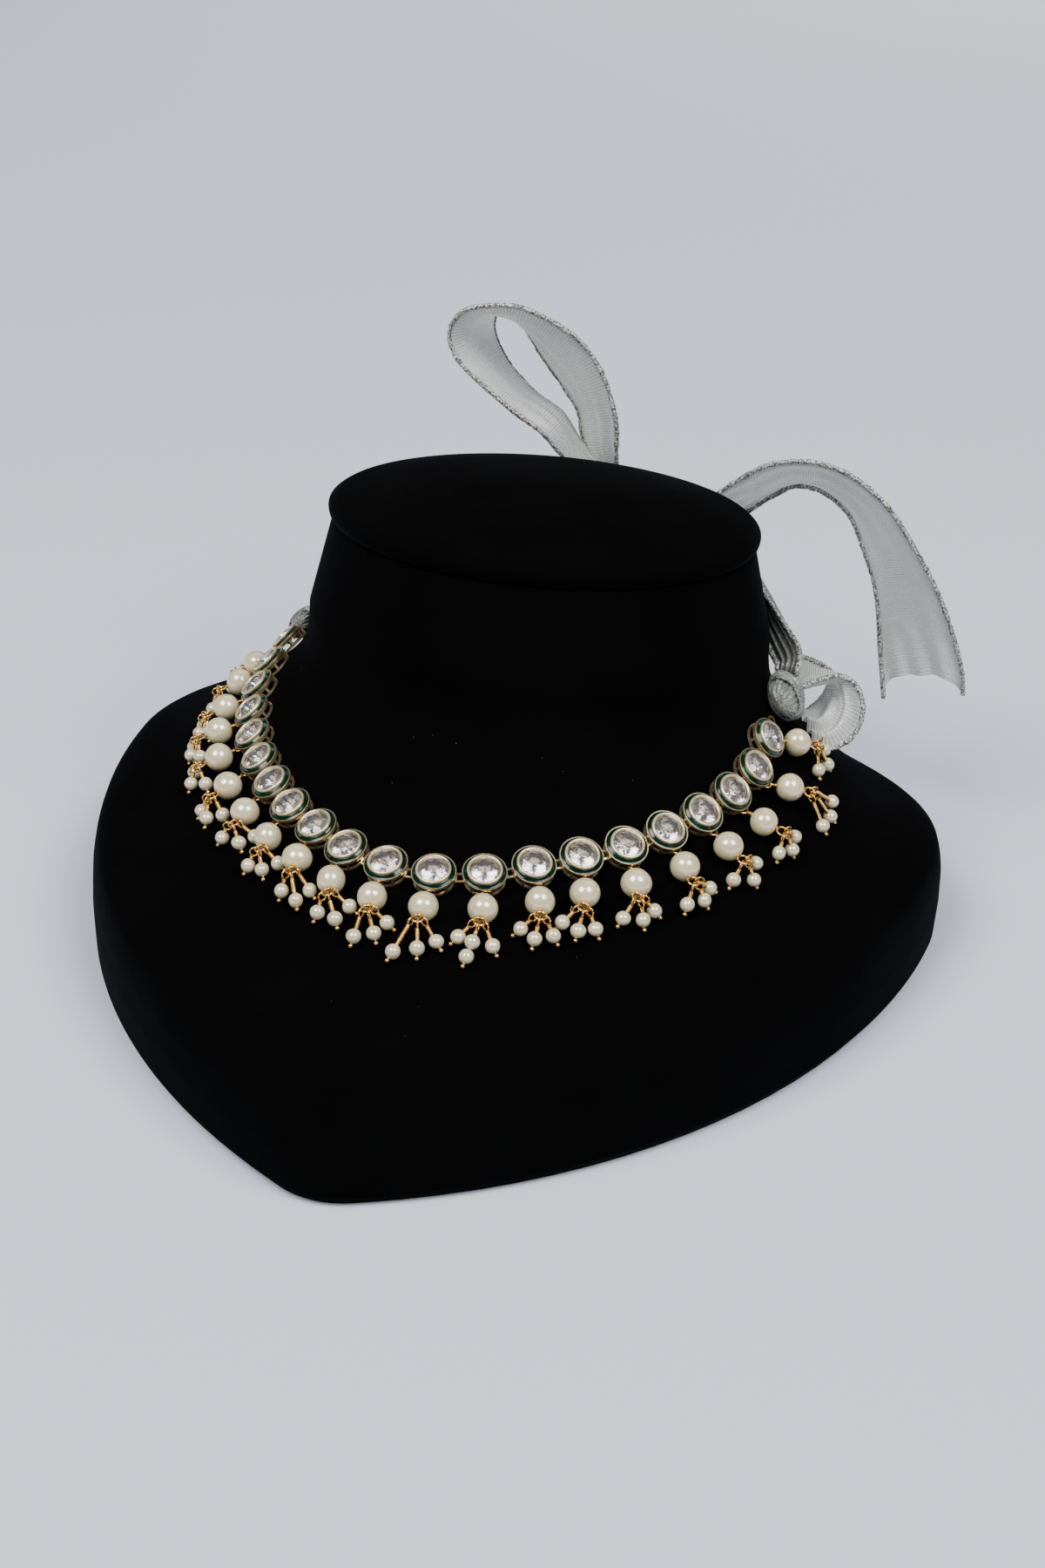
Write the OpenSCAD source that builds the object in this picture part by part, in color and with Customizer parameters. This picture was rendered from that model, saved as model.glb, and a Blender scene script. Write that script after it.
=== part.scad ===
// Stone set necklace with pearl drops and ribbon ties, on a low neck bust.
// Millimetres. +Z is up, -Y is the front of the bust, the origin is on its underside below the neck.

/* [Bust] */
// Width of the bust across the shoulders
bust_w = 224; // [180:1:280]
// Reach of the chest's tip in front of the neck's axis
chest_reach = 146; // [120:1:190]
// Height of the neck's top rim
bust_h = 103; // [90:1:130]
// Height of the rounded edge round the chest
edge_h = 26; // [16:1:32]
// Height where the neck begins
neck_root_h = 74; // [64:1:84]
// Half width of the neck at its root
neck_rx = 60.5; // [50:0.5:70]
// Half depth of the neck at its root
neck_ry = 52; // [42:0.5:60]
// Taper of the neck's half width from root to top
neck_taper_x = 6; // [0:0.5:12]
// Taper of the neck's half depth from root to top
neck_taper_y = 3.5; // [0:0.5:10]
// Radius of the chest's tip
tip_r = 20; // [12:1:32]
// Radius of the shoulders seen from above
shoulder_r = 50; // [40:1:60]
// Radius of the long sides seen from above
side_r = 180; // [150:5:260]
// Radius of the back seen from above
back_r = 300; // [220:10:500]
// Height of the pad's dome on the neck's top
dome_h = 6; // [3:0.5:12]
// Thickness of the padded cap
cap_t = 5.5; // [4:0.5:9]
// Thickness of the base board
board_t = 2.5; // [2:0.1:5]

/* [Links] */
// Outer diameter of a setting at its rim
link_d = 10.5; // [9:0.1:12]
// Height of a setting up to its rim
link_h = 3.1; // [2.6:0.1:4]
// Gap between the rims of neighbouring links
link_gap = 1.0; // [0.6:0.1:2]
// Diameter of a stone
stone_d = 7; // [5.5:0.1:7.4]
// Thickness of the gallery's wall
wall_t = 0.6; // [0.4:0.05:0.9]
// Width of the gallery's posts
post_w = 0.7; // [0.5:0.05:1]
// Thickness of the wire loops that join the links
loop_t = 0.5; // [0.4:0.05:0.6]
// Height of the bezel above the rim
bezel_h = 1.2; // [0.8:0.1:1.8]
// Thickness of the enamel
enamel_t = 0.3; // [0.2:0.05:0.5]

/* [Drops] */
// Diameter of a large pearl
pearl_d = 7; // [5:0.1:8]
// Diameter of a small pearl
bead_d = 3.5; // [2.5:0.1:4]
// Diameter of a drop's wire
wire_d = 0.56; // [0.4:0.02:0.7]
// Diameter of a head pin's wire
pin_d = 0.44; // [0.3:0.02:0.5]
// Mean diameter of the ring below a large pearl
ring_d = 2.8; // [2.4:0.1:4]
// Mean diameter of a head pin's eye
eye_d = 2.04; // [1.8:0.02:2.4]
// Diameter of the ball at a head pin's end
ball_d = 1.2; // [0.8:0.1:1.6]

/* [Ribbon] */
// Width of the ribbon
ribbon_w = 25; // [15:1:32]
// Thickness of the ribbon, folded and doubled
ribbon_t = 1; // [1:0.1:2]
// Height of the bow's loop above the bow's knot
loop_rise = 45; // [30:1:60]
// Reach of the bow's long tail from the bow
tail_reach = 88; // [60:1:120]
// Length of a ribbon knot
knot_l = 11; // [9:0.5:16]

/* [Hidden] */

// Clearances between pieces
fit_gap = 0.05;
bead_gap = 0.1;
seat_gap = 0.5;
rest_gap = 0.25;
join_gap = 0.15;
strand_gap = 1.7;

// Bust form

neck_y = 10;
neck_lean = 4.5;
rim_tilt = -0.08;
shoulder_y = 8;

// Share of the way out from the neck to the chest's outline, from the edge up to the neck's root
flare_shares = [0.965, 0.7, 0.49, 0.34, 0.21, 0.1, 0.03, 0.005, 0];

// Rounded edge: [share of edge_h, share of the outline]
edge_shares = [[0, 0.985], [0.1, 1], [0.45, 1.004], [0.75, 0.996], [0.9, 0.983], [1, 0.965]];

// Heights of the body's sections: below the edge, then shares of the chest, then shares of the neck
chest_steps = [for (k = [1:22]) k / 22];
neck_steps = [0.25, 0.5, 0.75, 1];

function unit(v) = v / norm(v);
function heading(v) = atan2(v[1], v[0]);
function clamp01(s) = min(max(s, 0), 1);

// Smooth reading of a row of evenly spaced values
function row_at(row, i) = row[min(max(i, 0), len(row) - 1)];
function smooth_row(row, s) =
    let (
        x = clamp01(s) * (len(row) - 1),
        i = min(floor(x), len(row) - 2),
        u = x - i,
        p0 = row_at(row, i - 1),
        p1 = row_at(row, i),
        p2 = row_at(row, i + 1),
        p3 = row_at(row, i + 2)
    )
    0.5 * (2 * p1 + (p2 - p0) * u + (2 * p0 - 5 * p1 + 4 * p2 - p3) * u * u
        + (3 * p1 - p0 - 3 * p2 + p3) * u * u * u);

// Centre of the arc of radius r that touches the circles a and b from outside them
function arc_centre(a, ra, b, rb, r) =
    let (
        d = norm(b - a),
        p = r - ra,
        q = r - rb,
        m = (p * p - q * q + d * d) / (2 * d),
        h = sqrt(p * p - m * m),
        u = (b - a) / d
    )
    a + u * m + [-u[1], u[0]] * h;

tip_c = [0, tip_r - chest_reach];
shoulder_c = [bust_w / 2 - shoulder_r, shoulder_y];
side_c = arc_centre(tip_c, tip_r, shoulder_c, shoulder_r, side_r);
back_c = arc_centre(shoulder_c, shoulder_r, [-shoulder_c[0], shoulder_c[1]], shoulder_r, back_r);
side_from = heading(tip_c - side_c);
side_to = heading(shoulder_c - side_c);
back_from = heading(shoulder_c - back_c);

// Point of the base outline whose outward normal has heading a, from -90 at the tip to 90 at the back
function outline_half(a) =
    a < side_from ? tip_c + tip_r * [cos(a), sin(a)]
    : a < side_to ? side_c + side_r * [cos(a), sin(a)]
    : a < back_from ? shoulder_c + shoulder_r * [cos(a), sin(a)]
    : back_c + back_r * [cos(a), sin(a)];
function outline_pt(a) =
    let (
        b = (a + 450) % 360 - 90,
        q = outline_half(b > 90 ? 180 - b : b)
    )
    [b > 90 ? -q[0] : q[0], q[1]];
function oval_pt(rx, ry, a) =
    [rx * rx * cos(a), ry * ry * sin(a)] / sqrt(pow(rx * cos(a), 2) + pow(ry * sin(a), 2));

// Point of the bust's skin for q = [heading of the normal, height]
function skin_pt(q) =
    let (
        z = q[1],
        rise = clamp01((z - neck_root_h) / (bust_h - cap_t - neck_root_h)),
        out = z < edge_h
            ? lookup(z / edge_h, edge_shares)
            : smooth_row(flare_shares, (z - edge_h) / (neck_root_h - edge_h)),
        neck = oval_pt(neck_rx - neck_taper_x * rise, neck_ry - neck_taper_y * rise, q[0]),
        y0 = neck_y + neck_lean * z / bust_h,
        xy = neck * (1 - out) + outline_pt(q[0]) * out + [0, y0 * (1 - out)]
    )
    [xy[0], xy[1], z + rim_tilt * (xy[1] - y0) * pow(z / bust_h, 2)];
function skin_normal(q) =
    let (o = skin_pt(q))
    unit(cross(skin_pt(q + [0.5, 0]) - o, skin_pt(q + [0, 0.5]) - o));
function above(q, h) = skin_pt(q) + skin_normal(q) * h;

// Moves q along the skin by the vector w
function slide_once(q, w) =
    let (
        o = skin_pt(q),
        ta = skin_pt(q + [1, 0]) - o,
        tz = skin_pt(q + [0, 1]) - o,
        aa = ta * ta,
        bb = ta * tz,
        cc = tz * tz,
        d = aa * cc - bb * bb
    )
    q + [((w * ta) * cc - (w * tz) * bb) / d, ((w * tz) * aa - (w * ta) * bb) / d];
function slide(q, w, n = 4) = n == 0 ? q : slide(slide_once(q, w / n), w * (n - 1) / n, n - 1);

// Closed solid through rings of points, each ring with the same number of points
module loft(rings) {
    n = len(rings[0]);
    m = len(rings);
    points = [for (r = rings) for (p = r) p];
    sides_of = [for (k = [0:m - 2]) for (i = [0:n - 1])
        let (a = k * n + i, b = k * n + (i + 1) % n)
        each [[a, a + n, b + n], [a, b + n, b]]];
    low = [for (i = [0:n - 1]) i];
    high = [for (i = [n - 1:-1:0]) (m - 1) * n + i];
    polyhedron(points, concat([low], sides_of, [high]), convexity = 6);
}

// Headings round a section: more where the outline is long
function steps(a, b, n) = [for (k = [0:n - 1]) a + (b - a) * k / n];
half_headings = concat(
    steps(-90, side_from, 4), steps(side_from, side_to, 16), steps(side_to, back_from, 15),
    steps(back_from, 90, 4)
);
headings = concat(half_headings, [90], [for (k = [len(half_headings) - 1:-1:1]) 180 - half_headings[k]]);

function skin_ring(z, share = 1) =
    let (
        ring = [for (a = headings) skin_pt([a, z])],
        c = [0, neck_y + neck_lean * z / bust_h, z]
    )
    [for (p = ring) c + (p - c) * share];
function raised(ring, h) = [for (p = ring) p + [0, 0, h]];

body_low = board_t + fit_gap;
body_top = bust_h - cap_t;

module bust_body() {
    heights = concat(
        [body_low, 0.28 * edge_h, 0.6 * edge_h, 0.85 * edge_h, edge_h],
        [for (s = chest_steps) edge_h + (neck_root_h - edge_h) * s],
        [for (s = neck_steps) neck_root_h + (body_top - neck_root_h) * s]
    );
    loft([for (z = heights) skin_ring(z)]);
}

// Padded cap: [height share of cap_t, height share of dome_h, share of the section]
cap_rows = [[0, 0, 0.975], [0.14, 0, 1.01], [0.6, 0, 1.02], [0.9, 0, 0.995], [1, 0.1, 0.94],
    [1, 0.6, 0.68], [1, 0.92, 0.34], [1, 1, 0.1]];

module bust_cap() {
    loft([for (r = cap_rows)
        let (ring = skin_ring(body_top, r[2]))
        raised(ring, fit_gap + (cap_t - fit_gap) * r[0] + dome_h * r[1])]);
}

board_sides = 128;
board_share = 0.985;

module base_board() {
    linear_extrude(board_t)
        polygon([for (k = [0:board_sides - 1]) outline_pt(360 * k / board_sides) * board_share]);
}

// Chain

// Places and directions as a matrix with the columns x, y, z and origin
function pose(o, x, y, z) =
    [[x[0], y[0], z[0], o[0]], [x[1], y[1], z[1], o[1]], [x[2], y[2], z[2], o[2]], [0, 0, 0, 1]];
function square_to(v, n) = unit(v - n * (v * n));

// Route of the chain on the chest: [turn from the front, height]
route = [
    [-100, 58], [-92, 55.8], [-84, 54], [-74, 51.6], [-62, 48.8], [-50, 46.4], [-36, 44.3], [-18, 43],
    [0, 42.9], [20, 43.7], [40, 46], [55, 48.9], [68, 52.5], [78, 57.8], [90, 66],
];
first_turn = -8.2;
pitch = link_d + link_gap;
mid_link = 10;

function chain_q(t) = [t - 90, lookup(t, route)];
function chain_pt(t) = above(chain_q(t), seat_gap);
function next_turn(t, way, lo, hi, n) =
    n == 0 ? t + way * (lo + hi) / 2
    : let (m = (lo + hi) / 2)
      norm(chain_pt(t + way * m) - chain_pt(t)) < pitch
        ? next_turn(t, way, m, hi, n - 1)
        : next_turn(t, way, lo, m, n - 1);
function turns_from(t, way, n) =
    n == 0 ? [] : let (s = next_turn(t, way, 2, 26, 14)) concat([s], turns_from(s, way, n - 1));

right_turns = turns_from(first_turn, 1, 10);
left_turns = turns_from(first_turn, -1, 10);
turns = concat([for (k = [9:-1:0]) left_turns[k]], [first_turn], right_turns);
link_q = [for (t = turns) chain_q(t)];
link_o = [for (q = link_q) above(q, seat_gap)];
link_n = [for (q = link_q) skin_normal(q)];
link_x = [for (i = [0:20])
    square_to(link_o[min(i + 1, 20)] - link_o[max(i - 1, 0)], link_n[i])];
link_y = [for (i = [0:20]) cross(link_n[i], link_x[i])];

// Settings

link_r = link_d / 2;
gallery_r = link_r - 0.3;
post_r = gallery_r - wall_t / 2;
window_lo = 0.16 * link_h;
window_hi = 0.62 * link_h;
window_mid = (window_lo + window_hi) / 2;
windows = 8;
bezel_in = stone_d / 2 + fit_gap;
bezel_out = bezel_in + 0.4;
bezel_top = link_h + bezel_h;
girdle_z = link_h + 0.5;
seat_r = stone_d / 2 - 0.35;

module setting_body() {
    lip = 0.25;
    floor_lo = link_h - 0.25 - enamel_t;
    floor_hi = floor_lo + 0.65;
    difference() {
        rotate_extrude($fn = 48)
            polygon([
                [gallery_r - wall_t, 0], [gallery_r, 0], [gallery_r, link_h - 1.05],
                [link_r, link_h - 0.6], [link_r, link_h], [link_r - lip, link_h],
                [link_r - lip - 0.02, floor_lo], [bezel_out + 0.02, floor_hi],
                [bezel_out, bezel_top - 0.12], [bezel_out - 0.12, bezel_top],
                [bezel_in + 0.08, bezel_top], [bezel_in, bezel_top - 0.08],
                [bezel_in, girdle_z - 0.5], [seat_r, girdle_z - 0.5], [seat_r, girdle_z - 0.9],
                [gallery_r - wall_t, window_hi + 0.35]
            ]);
        for (k = [0:windows - 1])
            rotate([0, 0, 360 / windows * (k + 0.5)])
                translate([gallery_r - 2 * wall_t, -window_half, window_lo])
                    cube([3 * wall_t, 2 * window_half, window_hi - window_lo]);
    }
}
window_half = (gallery_r - wall_t / 2) * tan(180 / windows) - post_w / 2;

module enamel_ring() {
    floor_lo = link_h - 0.25 - enamel_t + fit_gap;
    out_r = link_r - 0.28 - fit_gap;
    in_r = bezel_out + fit_gap + 0.02;
    rotate_extrude($fn = 48)
        polygon([[in_r, floor_lo + 0.67], [out_r, floor_lo + 0.06],
            [out_r, floor_lo + enamel_t + 0.06], [in_r, floor_lo + 0.67 + enamel_t]]);
}

// Round cut stone: [share of the radius, height as a share of the diameter, corners, turn]
stone_rows = [[0.54, 0.14, 8, 22.5], [0.82, 0.085, 8, 0], [1, 0.01, 16, 11.25], [1, -0.015, 16, 11.25],
    [0.04, -0.4, 8, 0]];

module cut_stone(d) {
    hull()
        for (r = stone_rows)
            rotate([0, 0, r[3]])
                translate([0, 0, d * r[1]])
                    linear_extrude(0.01)
                        circle(d / 2 * r[0], $fn = r[2]);
}

// Link 18 carries a smaller stone pushed aside, and link 21 one that stands proud
small_stone = 17;
small_stone_share = 0.93;
proud_stone = 20;
proud_rise = 0.5;

module stone(i) {
    d = stone_d * (i == small_stone ? small_stone_share : 1);
    translate([i == small_stone ? (stone_d - d) / 2 : 0, 0, girdle_z + (i == proud_stone ? proud_rise : 0)])
        cut_stone(d);
}

// Wire loop soldered to link i and passing round the facing post of the next one
loop_in = post_w / 2 + 0.45;
loop_out = loop_in + loop_t;

module flat_loop(x0, x1) {
    translate([0, 0, -loop_t / 2])
        linear_extrude(loop_t)
            difference() {
                union() {
                    translate([x0, -loop_out]) square([x1 + loop_t - loop_out - x0, 2 * loop_out]);
                    translate([x1 + loop_t - loop_out, 0]) circle(loop_out, $fn = 32);
                }
                union() {
                    translate([x0 + loop_t, -loop_in]) square([x1 - loop_in - x0 - loop_t, 2 * loop_in]);
                    translate([x1 - loop_in, 0]) circle(loop_in, $fn = 32);
                }
            }
}

module joining_loop(i) {
    a = link_o[i] + link_n[i] * window_mid + link_x[i] * post_r;
    b = link_o[i + 1] + link_n[i + 1] * window_mid - link_x[i + 1] * post_r;
    x = unit(b - a);
    n = square_to(link_n[i] + link_n[i + 1], x);
    multmatrix(pose(a, x, cross(n, x), n))
        flat_loop(wall_t / 2 - 0.12, norm(b - a) + wall_t / 2 + loop_reach);
}
loop_reach = 0.45;

module on_link(i) {
    multmatrix(pose(link_o[i], link_x[i], link_y[i], link_n[i])) children();
}

module setting(i) {
    on_link(i) setting_body();
    if (i < 20) joining_loop(i);
}

// Drops

// One row a link: swing of the pearl from the link's lower side, then for the small pearls on the
// left, middle and right their bearing from the drop's line and their distance from its ring
drops = [
    [40, -115, 4.7, -62, 4.9, -10, 4.4],
    [15, -46, 4.8, 5, 5.3, 55, 4.4],
    [15, -50, 5.1, 0, 4.7, 57, 4.4],
    [8, -45, 5, 5, 4.5, 60, 4.4],
    [10, -61, 4.4, 5, 4.4, 71, 4.9],
    [20, -45, 4.4, 5, 4.9, 60, 5.1],
    [26, -60, 4.4, 28, 4.4, 75, 5.5],
    [28, -55, 4.5, 5, 4.4, 58, 4.8],
    [27, -40, 4.5, 8, 6.7, 44, 5.7],
    [24, -40, 4.4, 11, 5.7, 60, 4.9],
    [10, -24, 5.9, 24, 4.9, 75, 4.5],
    [-2, -26, 8.5, 14, 5.9, 60, 5.7],
    [-8, -56, 5.3, -2, 4.4, 48, 5.3],
    [-10, -65, 4.4, -10, 4.4, 50, 4.5],
    [-17, -50, 4.9, 0, 4.5, 52, 4.9],
    [-17, -31, 4.9, 28, 4.5, 80, 4.9],
    [-12, -22, 4.7, 40, 4.5, 88, 5.5],
    [-5, -54, 4.4, 20, 4.7, 82, 5.3],
    [2, -54, 4.4, 4, 4.5, 58, 5.9],
    [12, -44, 8.3, -10, 8.9, 22, 10.7],
    [34, -60, 5.8, -15, 7.7, 20, 9.3],
];
stacked_drop = 12;
hook_step = 65;

pearl_r = pearl_d / 2;
bead_r = bead_d / 2;
wire_r = wire_d / 2;
pin_r = pin_d / 2;
ring_r = ring_d / 2;
eye_r = eye_d / 2;
ball_r = ball_d / 2;
pearl_reach = link_r + pearl_r + 1.5;

// Directions and places of drop i
function swung(i) = -link_y[i] * cos(drops[i][0]) + link_x[i] * sin(drops[i][0]);
pearl_q = [for (i = [0:20]) slide(link_q[i], swung(i) * pearl_reach)];
pearl_o = [for (i = [0:20]) above(pearl_q[i], pearl_r + rest_gap)];
post_turn = [for (d = drops) 360 / windows * round(d[0] / 1.3 / (360 / windows))];
post_o = [for (i = [0:20])
    link_o[i] + link_n[i] * window_mid
        + (link_x[i] * sin(post_turn[i]) - link_y[i] * cos(post_turn[i])) * post_r];
drop_x = [for (i = [0:20]) unit(pearl_o[i] - post_o[i])];
drop_y = [for (i = [0:20]) unit(cross(skin_normal(pearl_q[i]), drop_x[i]))];
drop_n = [for (i = [0:20]) cross(drop_x[i], drop_y[i])];
ring_off = pearl_r + 0.3 + ring_r;
ring_o = [for (i = [0:20]) pearl_o[i] + drop_x[i] * ring_off];
ring_q = [for (i = [0:20])
    slide(pearl_q[i], square_to(drop_x[i], skin_normal(pearl_q[i])) * ring_off)];

// Small pearl k of drop i: its place on the skin, then its centre
function bearing(i, k) =
    let (
        n = skin_normal(ring_q[i]),
        x = square_to(drop_x[i], n),
        a = drops[i][1 + 2 * k]
    )
    x * cos(a) + cross(n, x) * sin(a);
function bead_q(i, k) = slide(ring_q[i], bearing(i, k) * drops[i][2 + 2 * k]);
function hook_turn(i, k) =
    let (b = drops[i][1 + 2 * k], mid = drops[i][3])
    k == 0 ? min(b, mid - hook_step) : k == 2 ? max(b, mid + hook_step) : mid;
function hook_o(i, k) =
    let (a = hook_turn(i, k))
    ring_o[i] + (drop_x[i] * cos(a) + drop_y[i] * sin(a)) * ring_r;
function bead_o(i, k) =
    let (
        q = bead_q(i, k),
        n = skin_normal(q),
        low = skin_pt(q) + n * (bead_r + rest_gap),
        v = hook_o(i, k) - low,
        more = (beads_on(i, k) - 1) * (bead_d + bead_gap),
        lifts = [for (w = [[more + bead_r + ball_r, ball_r], [more, bead_r]])
            let (s = w[0] / norm(v)) (w[1] + tip_gap + w[0] * w[0] / 50 - bead_r + (v * n) * s) / (1 + s)]
    )
    low + n * max(0, lifts[0], lifts[1]);
tip_gap = 0.1;

// Pin frame: z runs from the small pearl up to the eye
function pin_z(i, k) = unit(hook_o(i, k) - bead_o(i, k));
function pin_x(i, k) = square_to(drop_n[i], pin_z(i, k));
function hook_gap(i, k) =
    let (
        a = hook_turn(i, k),
        along = drop_y[i] * cos(a) - drop_x[i] * sin(a),
        clear = unit(cross(pin_x(i, k), along))
    )
    eye_r - (pin_r + wire_r + bead_gap) / abs(pin_z(i, k) * clear);
function pin_o(i, k) = hook_o(i, k) - pin_z(i, k) * hook_gap(i, k);
function pin_pose(i, k) =
    let (z = pin_z(i, k), x = pin_x(i, k))
    pose(pin_o(i, k), x, cross(z, x), z);
function pin_drop(i, k) = norm(bead_o(i, k) - pin_o(i, k));
function beads_on(i, k) = i == stacked_drop && k == 1 ? 2 : 1;

module pearl(i) {
    multmatrix(pose(pearl_o[i], drop_n[i], drop_y[i], -drop_x[i]))
        difference() {
            sphere(pearl_r, $fn = 32);
            translate([0, 0, -pearl_d]) cylinder(2 * pearl_d, r = wire_r + bead_gap + 0.05, $fn = 16);
        }
}

hook_r = 1.15;
hook_off = 0.25;

module drop_wire(i) {
    far = norm(pearl_o[i] - post_o[i]) + ring_off;
    hook_n = square_to(link_n[i], drop_x[i]);
    multmatrix(pose(post_o[i], drop_x[i], cross(hook_n, drop_x[i]), hook_n))
        translate([hook_off, 0, 0])
            rotate_extrude($fn = 32) translate([hook_r, 0]) circle(wire_r, $fn = 16);
    multmatrix(pose(post_o[i], drop_x[i], drop_y[i], drop_n[i])) {
        translate([hook_off + hook_r, 0, 0])
            rotate([0, 90, 0])
                cylinder(far - ring_r - hook_off - hook_r, r = wire_r * 1.08, $fn = 16);
        translate([far, 0, 0]) rotate_extrude($fn = 32) translate([ring_r, 0]) circle(wire_r, $fn = 16);
    }
}

wrap_r = 0.46;

module head_pin(i, k) {
    drop = pin_drop(i, k) + (beads_on(i, k) - 1) * (bead_d + bead_gap);
    wrap_end = pin_drop(i, k) - bead_r - bead_gap;
    multmatrix(pin_pose(i, k)) {
        rotate([90, 0, 0]) rotate_extrude($fn = 24) translate([eye_r, 0]) circle(pin_r, $fn = 16);
        rotate_extrude($fn = 24)
            intersection() {
                union() {
                    translate([0, -drop - bead_r - ball_r]) circle(ball_r, $fn = 24);
                    translate([0, -drop - bead_r - ball_r]) square([pin_r, drop + bead_r + ball_r - eye_r]);
                    translate([0, -wrap_end]) square([wrap_r, wrap_end - eye_r]);
                }
                translate([0, -50]) square([5, 50]);
            }
    }
}

module small_pearl(i, k) {
    multmatrix(pin_pose(i, k))
        for (m = [0:beads_on(i, k) - 1])
            translate([0, 0, -pin_drop(i, k) - m * (bead_d + bead_gap)])
                difference() {
                    sphere(bead_r, $fn = 24);
                    translate([0, 0, -bead_d]) cylinder(2 * bead_d, r = pin_r + bead_gap, $fn = 16);
                }
}

// Ends and ribbons

loop_show = 1.4;
knot_w = 10;
knot_t = 7;

// Gold loop through the outer side of the last link, held by the ribbon's knot
module end_loop(i, way) {
    on_link(i)
        rotate([0, 0, way > 0 ? 0 : 180])
            translate([0, 0, window_mid])
                flat_loop(gallery_r - wall_t - loop_reach - loop_t, link_r + loop_show + 1.6);
}

// Knot i: on the skin beyond the last link, its x along the chain's end
function knot_q(i, way) = slide(link_q[i], link_x[i] * way * (link_r + loop_show + knot_l / 2));
function knot_pose(i, way) =
    let (
        q = knot_q(i, way),
        n = skin_normal(q),
        x = square_to(link_x[i] * way, n)
    )
    pose(above(q, knot_t / 2 + 0.6), x, cross(n, x), n);

module lump(l, w, t) {
    r = t * 0.36;
    hull() {
        for (v = [-1, 1])
            translate([v * (l / 2 - r), 0, 0]) scale([1, (w * 0.36) / r, 1]) sphere(r, $fn = 16);
        for (v = [-1, 1])
            translate([0, v * (w / 2 - t / 2), 0]) sphere(t / 2, $fn = 16);
    }
}

module knot(i, way) {
    difference() {
        multmatrix(knot_pose(i, way)) lump(knot_l, knot_w, knot_t);
        on_link(i)
            translate([way > 0 ? 0 : -link_r - loop_show - 2.3, -loop_out - join_gap,
                window_mid - loop_t / 2 - join_gap])
                cube([link_r + loop_show + 2.3, 2 * (loop_out + join_gap), loop_t + 2 * join_gap]);
    }
}

// Cloth strip through stations of [centre, half width vector], bulged by cup as a share of the half width
across = [-1, -0.5, 0, 0.5, 1];
function tangent(st, i) = unit(st[min(i + 1, len(st) - 1)][0] - st[max(i - 1, 0)][0]);
function strip_ring(st, i, thick, cup) =
    let (
        w = st[i][1],
        n = unit(cross(tangent(st, i), w)),
        low = [for (u = across) st[i][0] + w * u + n * (cup * (1 - u * u) * norm(w) - thick / 2)],
        high = [for (k = [4:-1:0]) low[k] + n * thick]
    )
    concat(low, high);
module strip(st, thick, cup = 0) {
    loft([for (i = [0:len(st) - 1]) strip_ring(st, i, thick, cup)]);
}

// Ribbon gathered round the neck: [turn from the front, height] from beyond each knot to the bow
strand_w = 10;
strand_t = 1.6;
right_strand = [[95, 67], [102, 73], [110, 79], [120, 84], [132, 87], [145, 88.5], [158, 89], [172.5, 89]];
left_strand = [[-113.5, 63], [-119, 71], [-127, 79], [-137, 84], [-149, 87], [-162, 88], [-176.5, 88]];

function strand_rows(i, way, rows) =
    let (
        q = knot_q(i, way),
        x = square_to(link_x[i] * way, skin_normal(q)),
        s = slide(q, x * (knot_l / 2 + strand_gap))
    )
    concat([[s[0] + 90, s[1]]], rows);
function strand_path(rows) =
    [for (i = [0:len(rows) - 1])
        let (
            q = [rows[i][0] - 90, rows[i][1]],
            q0 = [rows[max(i - 1, 0)][0] - 90, rows[max(i - 1, 0)][1]],
            q1 = [rows[min(i + 1, len(rows) - 1)][0] - 90, rows[min(i + 1, len(rows) - 1)][1]],
            t = unit(skin_pt(q1) - skin_pt(q0)),
            n = skin_normal(q)
        )
        [above(q, strand_t / 2 + 0.7), unit(cross(n, t)) * strand_w / 2 * (i == 0 ? 0.6 : 1)]];

module strand(i, way, rows) {
    strip(strand_path(strand_rows(i, way, rows)), strand_t, 0.06);
}

// Bow behind the neck
bow_w = 15;
bow_h = 11;
bow_t = 9;
bow_q = [88, 88];
bow_o = above(bow_q, bow_t / 2 + 0.5);

module bow_knot() {
    n = skin_normal(bow_q);
    x = square_to([-1, 0, 0], n);
    multmatrix(pose(bow_o, x, cross(n, x), n)) lump(bow_w, bow_h, bow_t);
}

// Station tables: [x share, height share, turn of the ribbon's width from the depth axis, width share]
function flat_path(rows, o, size, depth) =
    [for (i = [0:len(rows) - 1])
        let (
            a = rows[max(i - 1, 0)],
            b = rows[min(i + 1, len(rows) - 1)],
            t = unit([b[0] - a[0], 0, b[1] - a[1]]),
            side = [-t[2], 0, t[0]],
            r = rows[i]
        )
        [o + [r[0] * size, depth * sin(180 * i / (len(rows) - 1)), r[1] * size],
            (side * sin(r[2]) + [0, -1, 0] * cos(r[2])) * ribbon_w / 2 * r[3]]];

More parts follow.
